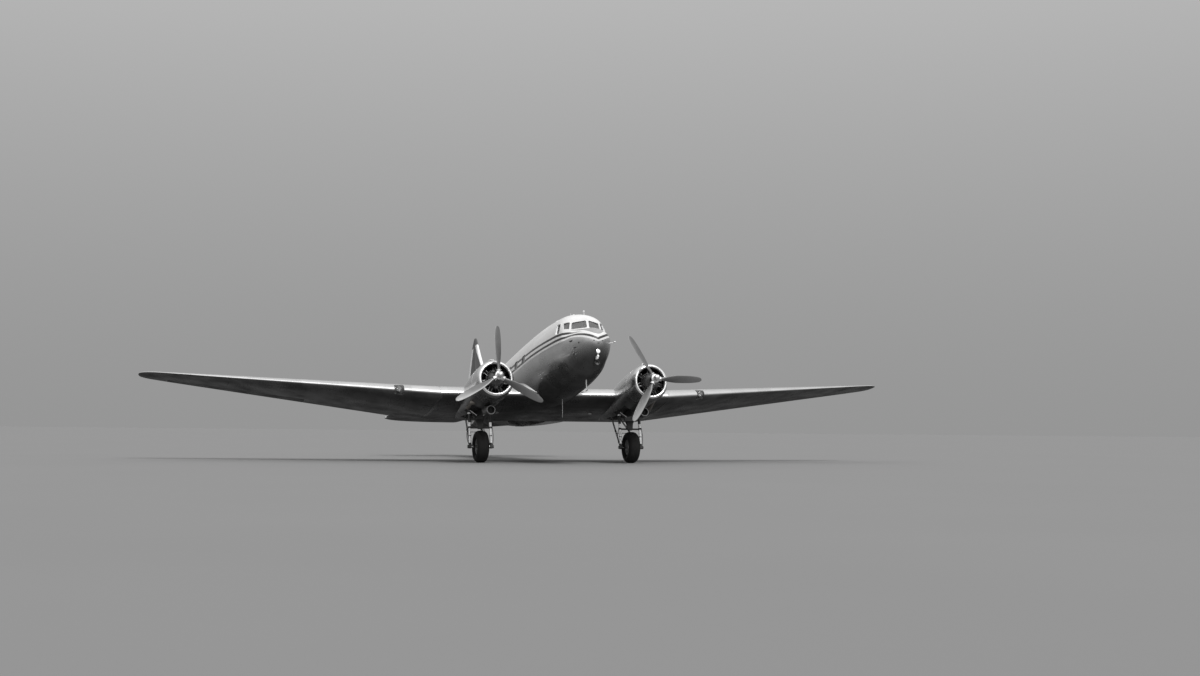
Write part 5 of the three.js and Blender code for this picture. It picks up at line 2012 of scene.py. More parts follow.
        # The flap's slot is lined with near-black painted shade.
        Piece("centre_wing_skin", centre, [palette.wing], stands_for=["wing_centre"], sharp=40).build(
            (self.flap_slot(-flap_half, flap_half), palette.cavity))
        Piece("centre_flap_panel", self.flap(-flap_half, flap_half), [palette.wing],
              body="flap_centre", stands_for=["flap_centre"]).build()

    def build_outer(self, side: Side) -> None:
        """Makes one outer wing with its aileron, flap, lens and jack pad.

        Args:
            side: The wing's side.
        """
        palette, half, tip, outer = self.palette, self.centre_half, self.plan[1][0], self.plan[3]
        out, station, radius, tall = self.jack_pad
        low = self.level(0.0, (station - self.lead) / self.chord, False) - tall
        foot = [(0.0, 0.012), (0.016, 0.0), (radius - 0.005, 0.0), (radius, 0.004)]
        pad = Draft().turn([*foot, (radius, 2 * tall), (0.0, 2 * tall)], 32, (out, station, low), "Z")
        side_piece(side, "jack_pad", pad.sided(side), [palette.silver])
        places = [*np.linspace(half + 0.3, tip, 24), *np.linspace(tip, outer[0], 10)[1:], *self.tip_places]
        skin = Draft().loft([self.ring(x, self.shares()) for x in (half + 0.0005, *places)])
        start, stop = self.lamp_span
        lamp_room = Draft().block((start, self.lead - 0.5, -1.0), (stop, self.lamp_rear(), 1.5), 0.001)
        flap_span = (half + self.flap_gaps[0], self.aileron_span[0] - self.flap_gaps[1])
        # The aileron's notch, the flap's slot and the lamp's room are lined with near-black painted shade.
        rooms = (self.aileron_slot(), self.flap_slot(*flap_span), lamp_room)
        side_piece(side, "outer_wing_skin", skin.sided(side), [palette.wing],
                   *((room.sided(side), palette.cavity) for room in rooms), node="wing_outer", sharp=40)
        for name, draft, finish, node, more in (
            ("aileron_cover", self.aileron(), palette.fabric, "aileron", {"body": "aileron"}),
            ("flap_panel", self.flap(*flap_span), palette.wing, "flap", {"body": "flap"}),
            ("landing_lamp_lens", self.lens(), palette.lens, "landing_lamp", {"slot": "lamp"}),
        ):
            side_piece(side, name, draft.sided(side), [finish], node=node, **more)

    def build_lamp(self, side: Side) -> None:
        """Makes the bright reflector and the bulb behind a lens.

        Args:
            side: The lamp's side.
        """
        x = sum(self.lamp_span) / 2
        lead, _, height, _, _ = self.shape(x)
        at = (x, lead, height + 0.02)
        bowl = rounded(self.bowl_front, 4) + rounded(self.bowl_rear, 4)
        lamp = Draft().turn(bowl, 28, at, loop=True).turn(self.bulb, 14, at, mark=1)
        finishes = [self.palette.chrome, self.palette.white]
        side_piece(side, "landing_lamp_bowl", lamp.sided(side), finishes, slot="lamp")

    def build_joint(self, side: Side) -> None:
        """Makes the cover strip over the joint of centre and outer wing.

        Args:
            side: The joint's side.
        """
        wide, bevel, thick, covered = self.strip
        shares = [share for share in self.shares() if share < covered]
        rings = []
        for off, proud in ((-wide, 0.0), (bevel - wide, thick), (wide - bevel, thick), (wide, 0.0)):
            x = self.centre_half + off
            ring = []
            for _, station, z in self.ring(x, shares):
                share = (station - self.lead) / self.chord
                middle = (self.level(x, share, True) + self.level(x, share, False)) / 2
                ahead = proud if station < self.lead + 0.05 else 0
                ring.append((x, station - ahead, z + (proud if z > middle else -proud)))
            rings.append(ring)
        strip = Draft().loft(rings).sided(side)
        side_piece(side, "wing_joint_strip", strip, [self.palette.cowl], slot="bright_metal")

    def build(self) -> None:
        """Makes every piece of the wing."""
        self.build_centre()
        for side in Side:
            self.build_outer(side)
            self.build_lamp(side)
            self.build_joint(side)


@dataclass
class Tail:
    """Fin, rudder, stabilisers and elevators."""

    palette: Palette
    hinge: float = 17.62
    stab_height: float = 1.5
    # Distance along the span, front, rear, half thickness, half thickness at the rear.
    fin_rows: Points = (
        (1.78, 14.6, 17.52, 0.15, 0.095), (2.25, 15.08, 17.52, 0.145, 0.092),
        (3.1, 15.87, 17.52, 0.125, 0.08), (3.95, 16.61, 17.52, 0.095, 0.06),
        (4.7, 17.13, 17.52, 0.055, 0.042), (4.98, 17.3, 17.52, 0.034, 0.028),
        (5.06, 17.4, 17.52, 0.02, 0.018),
    )
    stab_rows: Points = (
        (0.2, 15.95, 17.52, 0.13, 0.08), (1.0, 16.16, 17.52, 0.115, 0.072), (2.4, 16.55, 17.52, 0.085, 0.055),
        (3.5, 16.87, 17.52, 0.055, 0.036), (3.88, 17.06, 17.52, 0.036, 0.026),
        (4.03, 17.26, 17.52, 0.022, 0.02),
    )
    # Distance along the span, rear edge.
    rudder_rows: Points = (
        (1.65, 19.35), (1.9, 19.6), (2.25, 19.65), (3.0, 19.38), (3.8, 18.9), (4.4, 18.47), (4.8, 18.13),
        (5.0, 17.88), (5.085, 17.74),
    )
    elevator_rows: Points = (
        (0.43, 17.9), (0.84, 18.61), (2.0, 18.56), (3.1, 18.4), (3.7, 18.18), (3.98, 17.93), (4.06, 17.79),
    )
    # Where the sections lie: a span of even ones, and those near the tip.
    fin_places: tuple[Point, Point] = ((1.78, 4.7, 22), (4.8, 4.88, 4.94, 4.98, 5.02, 5.045, 5.06))
    stab_places: tuple[Point, Point] = ((0.2, 3.5, 18), (3.6, 3.7, 3.79, 3.88, 3.94, 3.99, 4.03))
    rudder_places: tuple[Point, Point] = ((1.65, 4.8, 64), (4.87, 4.93, 4.98, 5.02, 5.05, 5.07, 5.085))
    elevator_places: tuple[Point, Point] = ((0.84, 3.7, 58), (3.78, 3.86, 3.92, 3.98, 4.02, 4.06))
    elevator_root: Sequence[float] = (0.43, 0.5, 0.58, 0.66, 0.75)
    # Span over which the nose radius of a control surface tapers, and the radii.
    rudder_nose: tuple[Point, Point] = ((1.78, 5.06), (0.095, 0.022))
    elevator_nose: tuple[Point, Point] = ((0.2, 4.03), (0.08, 0.022))
    rear_edge: float = 0.005
    torque_tube: float = 0.029
    tab_rear: float = 19.5
    # Share of the chord and of the thickness.
    section: Points = ((0.0, 0.0), (0.03, 0.42), (0.12, 0.75), (0.35, 1.0), (0.65, 1.0))

    @staticmethod
    def places(span: Point, tip: Point) -> list[float]:
        """Even places over a span of start, end and count, then those of the tip."""
        return [*np.linspace(span[0], span[1], int(span[2])), *tip]

    def fixed(self, rows: Points, at: Sequence[float],
              place: Callable[[float, float, float], Point]) -> Draft:
        """Skins a fixed tail surface.

        Args:
            rows: Its table.
            at: Distances along the span.
            place: Puts distance, station and thickness into the aircraft.

        Returns:
            The surface.
        """
        shares = [(i / 22) ** 1.7 for i in range(23)]
        rings = []
        for out, (front, back, thick, rear) in zip(at, from_table(rows, at)):
            widths = from_table([*self.section, (1.0, rear / thick)], shares)[:, 0] * thick
            line = [(front + f * (back - front), w) for f, w in zip(shares, widths)]
            line += [(y, -w) for y, w in reversed(line[1:])]
            rings.append([place(out, y, w) for y, w in line])
        return Draft().loft(rings)

    def moving(self, rows: Points, at: Sequence[float], nose: tuple[Point, Point], upright: bool) -> Draft:
        """Skins a rudder or an elevator, its fabric sunk a little between the ribs.

        Args:
            rows: Its table.
            at: Distances along the span.
            nose: Span over which its nose radius tapers, and the radii.
            upright: It stands, as a rudder does.

        Returns:
            The surface.
        """
        ribbed = (0.0, 4.8) if upright else (0.84, 3.7)
        rings = []
        for out, (rear,) in zip(at, from_table(rows, at)):
            centre = (0, self.hinge, out) if upright else (out, self.hinge, self.stab_height)
            radius = float(np.interp(out, *nose))
            hollow = sunk(out, 0.005) * (ribbed[0] < out < ribbed[1])
            reach = rear - self.hinge
            rings.append(control_ring(centre, radius, reach, self.rear_edge, 0.0, hollow, upright))
        return Draft().loft(rings)

    def build(self) -> None:
        """Makes every piece of the tail."""
        palette, hinge, high = self.palette, self.hinge, self.stab_height
        fin = self.fixed(self.fin_rows, self.places(*self.fin_places), lambda out, y, w: (w, y, out))
        Piece("fin_skin", fin, [palette.fin], stands_for=["fin"], sharp=40).build()

        rudder = self.moving(self.rudder_rows, self.places(*self.rudder_places), self.rudder_nose, True)
        rudder.tube([(0, hinge, 1.402), (0, hinge, 1.8)], self.torque_tube, 20)
        rudder.block((-0.02, self.tab_rear - 0.33, 2.0), (0.02, self.tab_rear - 0.27, 2.03), 0.003)
        Piece("rudder_cover", rudder, [palette.rudder], body="rudder", stands_for=["rudder"]).build()

        spans = self.places(*self.stab_places)
        stab = self.fixed(self.stab_rows, spans, lambda out, y, w: (out, y, high + w))
        outs = [*self.elevator_root, *self.places(*self.elevator_places)]
        elevator = self.moving(self.elevator_rows, outs, self.elevator_nose, False)
        elevator.tube([(0.202, hinge, high), (0.7, hinge, high)], self.torque_tube, 20)
        for side in Side:
            skin, cover = stab.sided(side), elevator.sided(side)
            side_piece(side, "stabiliser_skin", skin, [palette.wing], node="stabiliser", sharp=40)
            side_piece(side, "elevator_cover", cover, [palette.fabric], node="elevator", body="elevator")


# Engines


@dataclass
class PowerUnit:
    """One nacelle with its cowl, open engine, propeller and scoops. x is counted from the thrust line."""

    palette: Palette
    side: Side
    # Degrees that the first blade stands from upright.
    first_blade: float
    # Nacelle and oil cooler duct: station, half width, top, bottom, widest height.
    nacelle: Points = (
        (3.86, 0.67, 0.67, -0.67, 0), (4.4, 0.665, 0.68, -0.72, -0.02), (5.1, 0.64, 0.63, -0.77, -0.06),
        (6.0, 0.6, 0.48, -0.71, -0.11), (6.9, 0.53, 0.2, -0.6, -0.16), (7.7, 0.41, -0.06, -0.49, -0.22),
        (8.33, 0.25, -0.22, -0.4, -0.3),
    )
    nacelle_tail: Sequence[float] = (7.85, 8.0, 8.12, 8.22, 8.29, 8.33)
    oil_duct: Points = (
        (3.74, 0.155, -0.775, -1.085, -0.93), (3.95, 0.178, -0.735, -1.095, -0.915),
        (4.25, 0.178, -0.67, -1.045, -0.865), (4.56, 0.14, -0.6, -0.89, -0.75),
    )
    duct_lip: Sequence[float] = (3.74, 3.745, 3.755, 3.77)
    # Carburettor scoop: station, half width, base, top.
    scoop: Points = (
        (3.45, 0.12, 0.6, 0.8), (3.85, 0.12, 0.6, 0.81), (4.3, 0.096, 0.5, 0.75), (4.7, 0.05, 0.45, 0.62),
    )
    # The rooms of the wheel well: half width, front, rear; their roof; and the ribs under it.
    wells: Points = ((0.45, 4.56, 5.95), (0.29, 5.94, 7.25))
    well_roof: float = -0.31
    well_ribs: int = 7
    well_pitch: float = 0.19
    # Radius and station of the cowl, from its tail round the lip to its inner tail.
    cowl_line: Points = (
        (0.672, 3.86), (0.68, 3.62), (0.682, 3.37), (0.668, 3.06), (0.632, 2.935), (0.595, 2.872),
        (0.558, 2.85), (0.524, 2.862), (0.5, 2.9), (0.49, 2.94), (0.52, 2.965), (0.6, 3.03), (0.636, 3.3),
        (0.642, 3.86),
    )
    lip_end: float = 2.9
    # Cowl flaps: how many places round the cowl, their line as station and radius, their thickness.
    flap_count: int = 18
    flap_line: Points = ((3.66, 0.6815), (3.7, 0.6845), (3.857, 0.683))
    flap_thickness: float = 0.004
    # Crankcase: its front, the curve of its nose, and its rear, as radius and station.
    case_front: Points = ((0.052, 2.76), (0.052, 2.646))
    case_nose: Points = (
        (0.06, 2.646), (0.115, 2.65), (0.128, 2.7), (0.165, 2.76), (0.215, 2.81), (0.25, 2.87), (0.27, 2.93),
        (0.285, 2.985),
    )
    case_rear: Points = ((0.285, 3.5), (0.33, 3.53), (0.33, 3.84), (0.0, 3.84))
    governor: Points = (
        (0.0, 2.72), (0.03, 2.722), (0.045, 2.74), (0.045, 2.8), (0.06, 2.81), (0.06, 2.9), (0.0, 2.9),
    )
    governor_turn: float = 28.0
    # Rows of cylinders: station, turn of the first.
    cylinder_rows: Points = ((3.2, 0.0), (3.44, pi / 7))
    cylinders: int = 7
    # A cylinder's fins: how many, the first one's height, their pitch and the barrel's radius.
    fins: int = 15
    fin_foot: float = 0.3
    fin_pitch: float = 0.0165
    barrel: float = 0.076
    # Ignition harness: radius and station of its ring.
    harness: tuple[float, float] = (0.318, 3.02)
    # Propeller blade: distance out, chord, thickness, blade angle.
    blade_rows: Points = (
        (0.09, 0.12, 0.11, 60), (0.26, 0.13, 0.1, 52), (0.48, 0.215, 0.06, 42), (0.85, 0.28, 0.036, 32),
        (1.25, 0.262, 0.022, 24), (1.6, 0.195, 0.013, 19), (1.71, 0.13, 0.009, 18), (1.7525, 0.06, 0.006, 18),
    )
    blade_tip: Sequence[float] = (1.64, 1.68, 1.71, 1.73, 1.745, 1.7525)
    blades: int = 3
    # Where a blade's section turns from round to flat: start and length.
    blade_blend: tuple[float, float] = (0.24, 0.3)
    # Propeller hub: the curve of its dome and the rest, as radius and station, and a blade's socket.
    dome: Points = ((0.0, 2.15), (0.035, 2.153), (0.072, 2.17), (0.096, 2.205), (0.106, 2.26), (0.106, 2.36))
    hub: Points = (
        (0.118, 2.362), (0.118, 2.378), (0.15, 2.392), (0.15, 2.55), (0.12, 2.56), (0.095, 2.572),
        (0.095, 2.64), (0.05, 2.64), (0.05, 2.758), (0.0, 2.758),
    )
    socket: Points = (
        (0.0, 0.1), (0.08, 0.1), (0.082, 0.185), (0.088, 0.19), (0.088, 0.215), (0.075, 0.222), (0.0, 0.222),
    )

    @property
    def origin(self) -> Point:
        """The thrust line's foot."""
        return (self.side.value * ENGINE_OFFSET, 0.0, 0.0)

    def piece(
        self, name: str, draft: Draft, finishes: Sequence[Material], *cutters: tuple[Draft, Material],
        **more: object
    ) -> None:
        """Builds a piece of this unit, with its origin on the thrust line."""
        side_piece(self.side, name, draft, finishes, *cutters, origin=self.origin, **more)

    @staticmethod
    def ovals(rows: Points, stations: Sequence[float], sides: int) -> Draft:
        """Skins oval sections.

        Args:
            rows: Table of station, half width, top, bottom, widest height.
            stations: Where the sections lie.
            sides: Points in each.

        Returns:
            The form.
        """
        rings = []
        for station, (half, top, bottom, wide) in zip(stations, from_table(rows, stations)):
            reach = [sin(a) * (top - wide if sin(a) > 0 else wide - bottom) for a in around(sides)]
            rings.append([(half * cos(a), station, wide + z) for a, z in zip(around(sides), reach)])
        return Draft().loft(rings)

    def build_nacelle(self) -> None:
        """Makes the nacelle, open at the wheel well, and the well's ribs."""
        palette, roof = self.palette, self.well_roof
        skin = self.ovals(self.nacelle, [3.872, *np.linspace(3.95, 7.7, 40), *self.nacelle_tail], 72)
        # The wheel wells are lined with near-black painted shade.
        wells = [(Draft().block((-half, front, -1.5), (half, rear, roof), 0.001), palette.cavity)
                 for half, front, rear in self.wells]
        self.piece("nacelle_skin", skin, [palette.nacelle], *wells, node="nacelle", sharp=40)
        ribs = Draft()
        for i in range(self.well_ribs):
            station = 4.72 + i * self.well_pitch
            ribs.block((-0.44, station - 0.01, roof - 0.035), (0.44, station + 0.01, roof - 0.002), 0.003)
        for x in (-0.43, 0.43):
            ribs.tube([(x, 4.6, -0.38), (x, 5.9, -0.38)], 0.012, 8)
        self.piece("well_ribs", ribs, [palette.silver], slot="steel")

    def build_cowl(self) -> None:
        """Makes the cowl ring with its polished lip and the cowl flaps' edge."""
        palette = self.palette
        cowl = Draft().turn(rounded(self.cowl_line, 5), 112, loop=True)
        cowl.marks = [int(all(cowl.points[i][1] < self.lip_end for i in face)) for face in cowl.faces]
        self.piece("cowl_skin", cowl, [palette.cowl, palette.lip], slot="bright_metal", node="cowl", sharp=50)
        flaps = Draft()
        step = 2 * pi / self.flap_count
        half = step / 2 * 0.94
        for i in range(self.flap_count):
            middle = step * (i + 0.5)
            if cos(middle - 3 * pi / 2) > 0.8:
                continue
            rings = []
            arc = [middle - half + 2 * half * k / 6 for k in range(7)]
            for station, outer in self.flap_line:
                ring = [on_ring(outer, station, a) for a in arc]
                rings.append(ring + [on_ring(outer - self.flap_thickness, station, a) for a in reversed(arc)])
            flaps.loft(rings)
        self.piece("cowl_flaps", flaps, [palette.cowl], slot="bright_metal")

    def cylinder(self) -> Draft:
        """One finned cylinder along z, from the crankcase out, with its rocker boxes.

        Returns:
            The cylinder.
        """
        profile, inner = [(0.0, 0.2), (0.07, 0.2)], self.barrel
        for i in range(self.fins):
            low, wide = self.fin_foot + i * self.fin_pitch, 0.098 + 0.012 * sin(pi * i / self.fins)
            profile += [(inner, low), (wide, low + 0.003), (wide, low + 0.006), (inner, low + 0.009)]
        profile += [(0.088, 0.552), (0.08, 0.575), (0.05, 0.59), (0.0, 0.594)]
        made = Draft().turn(profile, 20, axis="Z")
        for y in (-0.07, 0.045):
            for x in (-0.062, 0.022):
                made.block((x, y - 0.022, 0.53), (x + 0.04, y + 0.03, 0.598), 0.008, 1)
        return made.tube([(0.0, -0.08, 0.5), (0.0, -0.125, 0.5)], 0.009, 10, 1)

    def build_case(self) -> None:
        """Makes the crankcase with its bolts, governor and sump."""
        case = Draft().turn([*self.case_front, *rounded(self.case_nose, 4), *self.case_rear], 48)
        bolt = [(0.0, -0.014), (0.011, -0.014), (0.012, 0.0), (0.012, 0.02)]
        for a in around(16):
            case.turn(bolt, 6, on_ring(0.262, 2.93, a))
        governor = Draft().turn(self.governor, 24, (0, 0, 0.235))
        case.join(governor, Matrix.Rotation(self.side.value * radians(self.governor_turn), 4, "Y"))
        case.block((-0.05, 2.86, -0.36), (0.05, 2.99, -0.24), 0.015)
        self.piece("engine_case", case, [self.palette.case], slot="engine_grey", node="engine")

    def build_cylinders(self) -> None:
        """Makes two rows of finned cylinders, their push rods and the ignition harness."""
        palette, cylinder = self.palette, self.cylinder()
        barrels, rods = Draft(), Draft()
        for station, turn in self.cylinder_rows:
            for angle in around(self.cylinders):
                place = Matrix.Translation((0, station, 0)) @ Matrix.Rotation(turn + angle, 4, "Y")
                barrels.join(cylinder, place)
                for x in (-0.042, 0.042):
                    foot = place @ Vector((x * 1.4, -0.13 if turn == 0 else -0.2, 0.26))
                    rods.tube([foot, place @ Vector((x, -0.085, 0.55))], 0.0115, 10)
        radius, station = self.harness
        rods.tube([on_ring(radius, station, pi / 2 - a) for a in np.linspace(0, 2 * pi, 73)], 0.013, 10, 1)
        for a in around(self.cylinders):
            start = Vector(on_ring(radius, station, pi / 2 - a - 0.12))
            stop = Vector(on_ring(0.5, station + 0.05, pi / 2 - a))
            rods.tube([start, start.lerp(stop, 0.5) + Vector((0, -0.03, 0)), stop], 0.007, 8, 1)
        self.piece("engine_cylinders", barrels, [palette.fins, palette.case], slot="engine_grey")
        self.piece("engine_rods", rods, [palette.rod, palette.black], slot="engine_grey")

    def build_bulkhead(self) -> None:
        """Makes the plate behind the engine and the baffle between its cylinders."""
        plate = Draft().turn(stub(0.634, 3.845, 3.856), 64)
        plate.turn([(0.33, 3.55), (0.62, 3.55), (0.62, 3.556), (0.33, 3.556)], 64, loop=True)
        self.piece("engine_bulkhead", plate, [self.palette.black], slot="dark_paint")

    def blade(self) -> Draft:
        """One blade along z, twisted, round at its shank.

        Returns:
            The blade.
        """
        outs = [*np.linspace(0.09, 1.6, 30), *self.blade_tip]
        rings = []
        for out, (chord, thick, angle) in zip(outs, from_table(self.blade_rows, outs)):
            turn = radians(angle)
            blend = float(np.clip((out - self.blade_blend[0]) / self.blade_blend[1], 0, 1))
            ring = []
            for a in around(28):
                c = cos(a) * 0.5 * chord
                t = sin(a) * abs(sin(a)) ** (0.35 * blend) * 0.5 * thick * (1 + 0.45 * blend * cos(a))
                ring.append((-c * cos(turn) - t * sin(turn), -c * sin(turn) + t * cos(turn), out))
            rings.append(ring)
        return Draft().loft(rings)

    def build_propeller(self) -> None:
        """Makes the hub, dome and blades."""
        palette = self.palette
        hub, blades = Draft().turn([*rounded(self.dome, 4), *self.hub], 40), Draft()
        for a in around(8):
            hub.turn([(0.0, -0.008), (0.009, -0.008), (0.009, 0.0)], 6, on_ring(0.112, 2.362, a), mark=1)
        blade, socket = self.blade(), Draft().turn(self.socket, 28, axis="Z")
        for i in range(self.blades):
            spin = Matrix.Rotation(radians(self.first_blade + 360 / self.blades * i), 4, "Y")
            place = Matrix.Translation((0, HUB_STATION, 0)) @ spin
            blades.join(blade, place)
            hub.join(socket, place)
        bright = {"body": "propeller", "slot": "bright_metal"}
        self.piece("propeller_hub", hub, [palette.chrome, palette.steel], node="propeller", **bright)
        self.piece("propeller_blades", blades, [palette.blade], sharp=60, **bright)

    def build_scoop(self) -> None:
        """Makes the carburettor scoop on the cowl."""
        stations = np.linspace(self.scoop[0][0], self.scoop[-1][0], 26)
        palette, arc, power = self.palette, [pi * k / 14 for k in range(15)], 0.55
        line = [(copysign(abs(cos(a)) ** power, cos(a)), sin(a) ** power) for a in arc]
        rings = [[(half * x, station, base + (top - base) * z) for x, z in line]
                 for station, (half, base, top) in zip(stations, from_table(self.scoop, stations))]
        # The mouth's recess is black: painted shade inside the open scoop.
        mouth = Draft().block((-0.095, 3.44, 0.704), (0.095, 3.61, 0.782), 0.03)
        self.piece("carburettor_duct", Draft().loft(rings), [palette.nacelle], (mouth, palette.black),
                   node="carburettor_scoop", sharp=40)

    def build_cooler(self) -> None:
        """Makes the oil cooler duct with its core."""
        palette = self.palette
        duct = self.ovals(self.oil_duct, [*self.duct_lip, *np.linspace(3.8, 4.56, 22)], 40)
        # The throat is black: painted shade inside the open duct.
        throat = Draft().tube([(0, 3.72, -0.93), (0, 3.9, -0.92)], 0.13, 36)
        self.piece("oil_cooler_duct", duct, [palette.duct], (throat, palette.black),
                   node="oil_cooler_scoop", sharp=40)
        core, level, radius, pitch = Draft(), -0.922, 0.124, 0.022
        for i in range(-5, 6):
            x, span = i * pitch, sqrt(max(radius**2 - (i * pitch) ** 2, 0))
            core.block((x - 0.004, 3.86, level - span), (x + 0.004, 3.885, level + span), 0.001)
        core.tube([(-radius, 3.858, level), (radius, 3.858, level)], 0.006, 10)
        self.piece("oil_cooler_core", core, [palette.black], slot="steel")

    def build_exhaust(self) -> None:
        """Makes the exhaust pipe, whose root is hidden in the nacelle."""
        palette, side = self.palette, self.side
        line = [(0.5 * side.value, 4.1, -0.43), (0.53, 4.5, -0.537), (0.56, 4.88, -0.64)]
        pipe = Draft().tube(line, 0.075, 28)
        bore = Draft().tube([(0.546, 4.698, -0.591), (0.561, 4.893, -0.6435)], 0.066, 24)
        self.piece("exhaust_stack", pipe.sided(side), [palette.exhaust], (bore.sided(side), palette.black),
                   slot="steel", node="exhaust_pipe")

    def build(self) -> None:
        """Makes the whole unit."""
        for make in (
            self.build_nacelle, self.build_cowl, self.build_case, self.build_cylinders, self.build_bulkhead,
            self.build_propeller, self.build_scoop, self.build_cooler, self.build_exhaust,
        ):
            make()


# Landing gear


@dataclass
class Wheel:
    """A tyre on a spoked-disc wheel, about an axle along x."""

    palette: Palette
    name: str
    body: str
    # The nodes of the tyre and of the wheel.
    nodes: tuple[str, str]
    origin: Point
    radius: float
    rim: float
    width: float
    bore: float
    # Facets of the solid tyre, which rests on one of them.
    facets: int = 28
    bolts: int = 8
    bolt_radius: float = 0.007

    def build_tyre(self, bead: float) -> None:
        """Makes the tyre.

        Args:
            bead: Half its width at the rim.
        """
        rubber = TyreRubber(f"{self.name}_rubber", self.radius, self.width).build()
        half, tall, rim = self.width / 2, self.radius - self.rim, self.rim
        top = self.radius * cos(pi / self.facets)
        line = rounded([
            (rim, bead), (rim + 0.12 * tall, half * 0.8), (rim + 0.4 * tall, half),
            (rim + 0.7 * tall, half * 0.93),
            (rim + 0.9 * tall, half * 0.68), (top - 0.002, half * 0.34), (top, 0.0),
        ], 4)
        tyre = Draft().turn(line + [(r, -x) for r, x in reversed(line[:-1])], 88, axis="X", loop=True)
        name, nodes = f"{self.name}_rubber_tyre", self.nodes[:1]
        Piece(name, tyre, [rubber], self.body, "tyre", nodes, self.origin, 60).build()

    def build_disc(self, bead: float) -> None:
        """Makes the wheel's disc and bolts.

        Args:
            bead: Half the tyre's width at the rim.
        """
        rim, hub = self.rim - 0.001, 0.36 * self.rim + 0.01
        half = [
            (self.bore, -bead + 0.005), (hub * 0.8, -bead + 0.005), (hub, -bead + 0.012),
            (hub + 0.01, -bead * 0.5),
            (rim * 0.8, -bead * 0.42), (rim * 0.9, -bead * 0.6), (rim * 0.93, -bead * 0.98),
            (rim * 0.985, -bead * 1.02),
            (rim, -bead * 0.96),
        ]
        disc = Draft().turn(half + [(r, -x) for r, x in reversed(half)], 64, axis="X", loop=True)
        for a in around(self.bolts):
            at = (0, hub * 0.72 * cos(a), hub * 0.72 * sin(a))
            for way in (-1, 1):
                disc.turn(stub(self.bolt_radius, way * (bead - 0.006), way * (bead + 0.004)), 6, at, "X", 1)
        name, finishes = f"{self.name}_wheel_disc", [self.palette.disc, self.palette.steel]
        Piece(name, disc, finishes, self.body, "bright_metal", self.nodes[1:], self.origin).build()

    def build(self) -> None:
        """Makes the tyre and the wheel."""
        bead = self.width / 2 * 0.62
        self.build_tyre(bead)
        self.build_disc(bead)


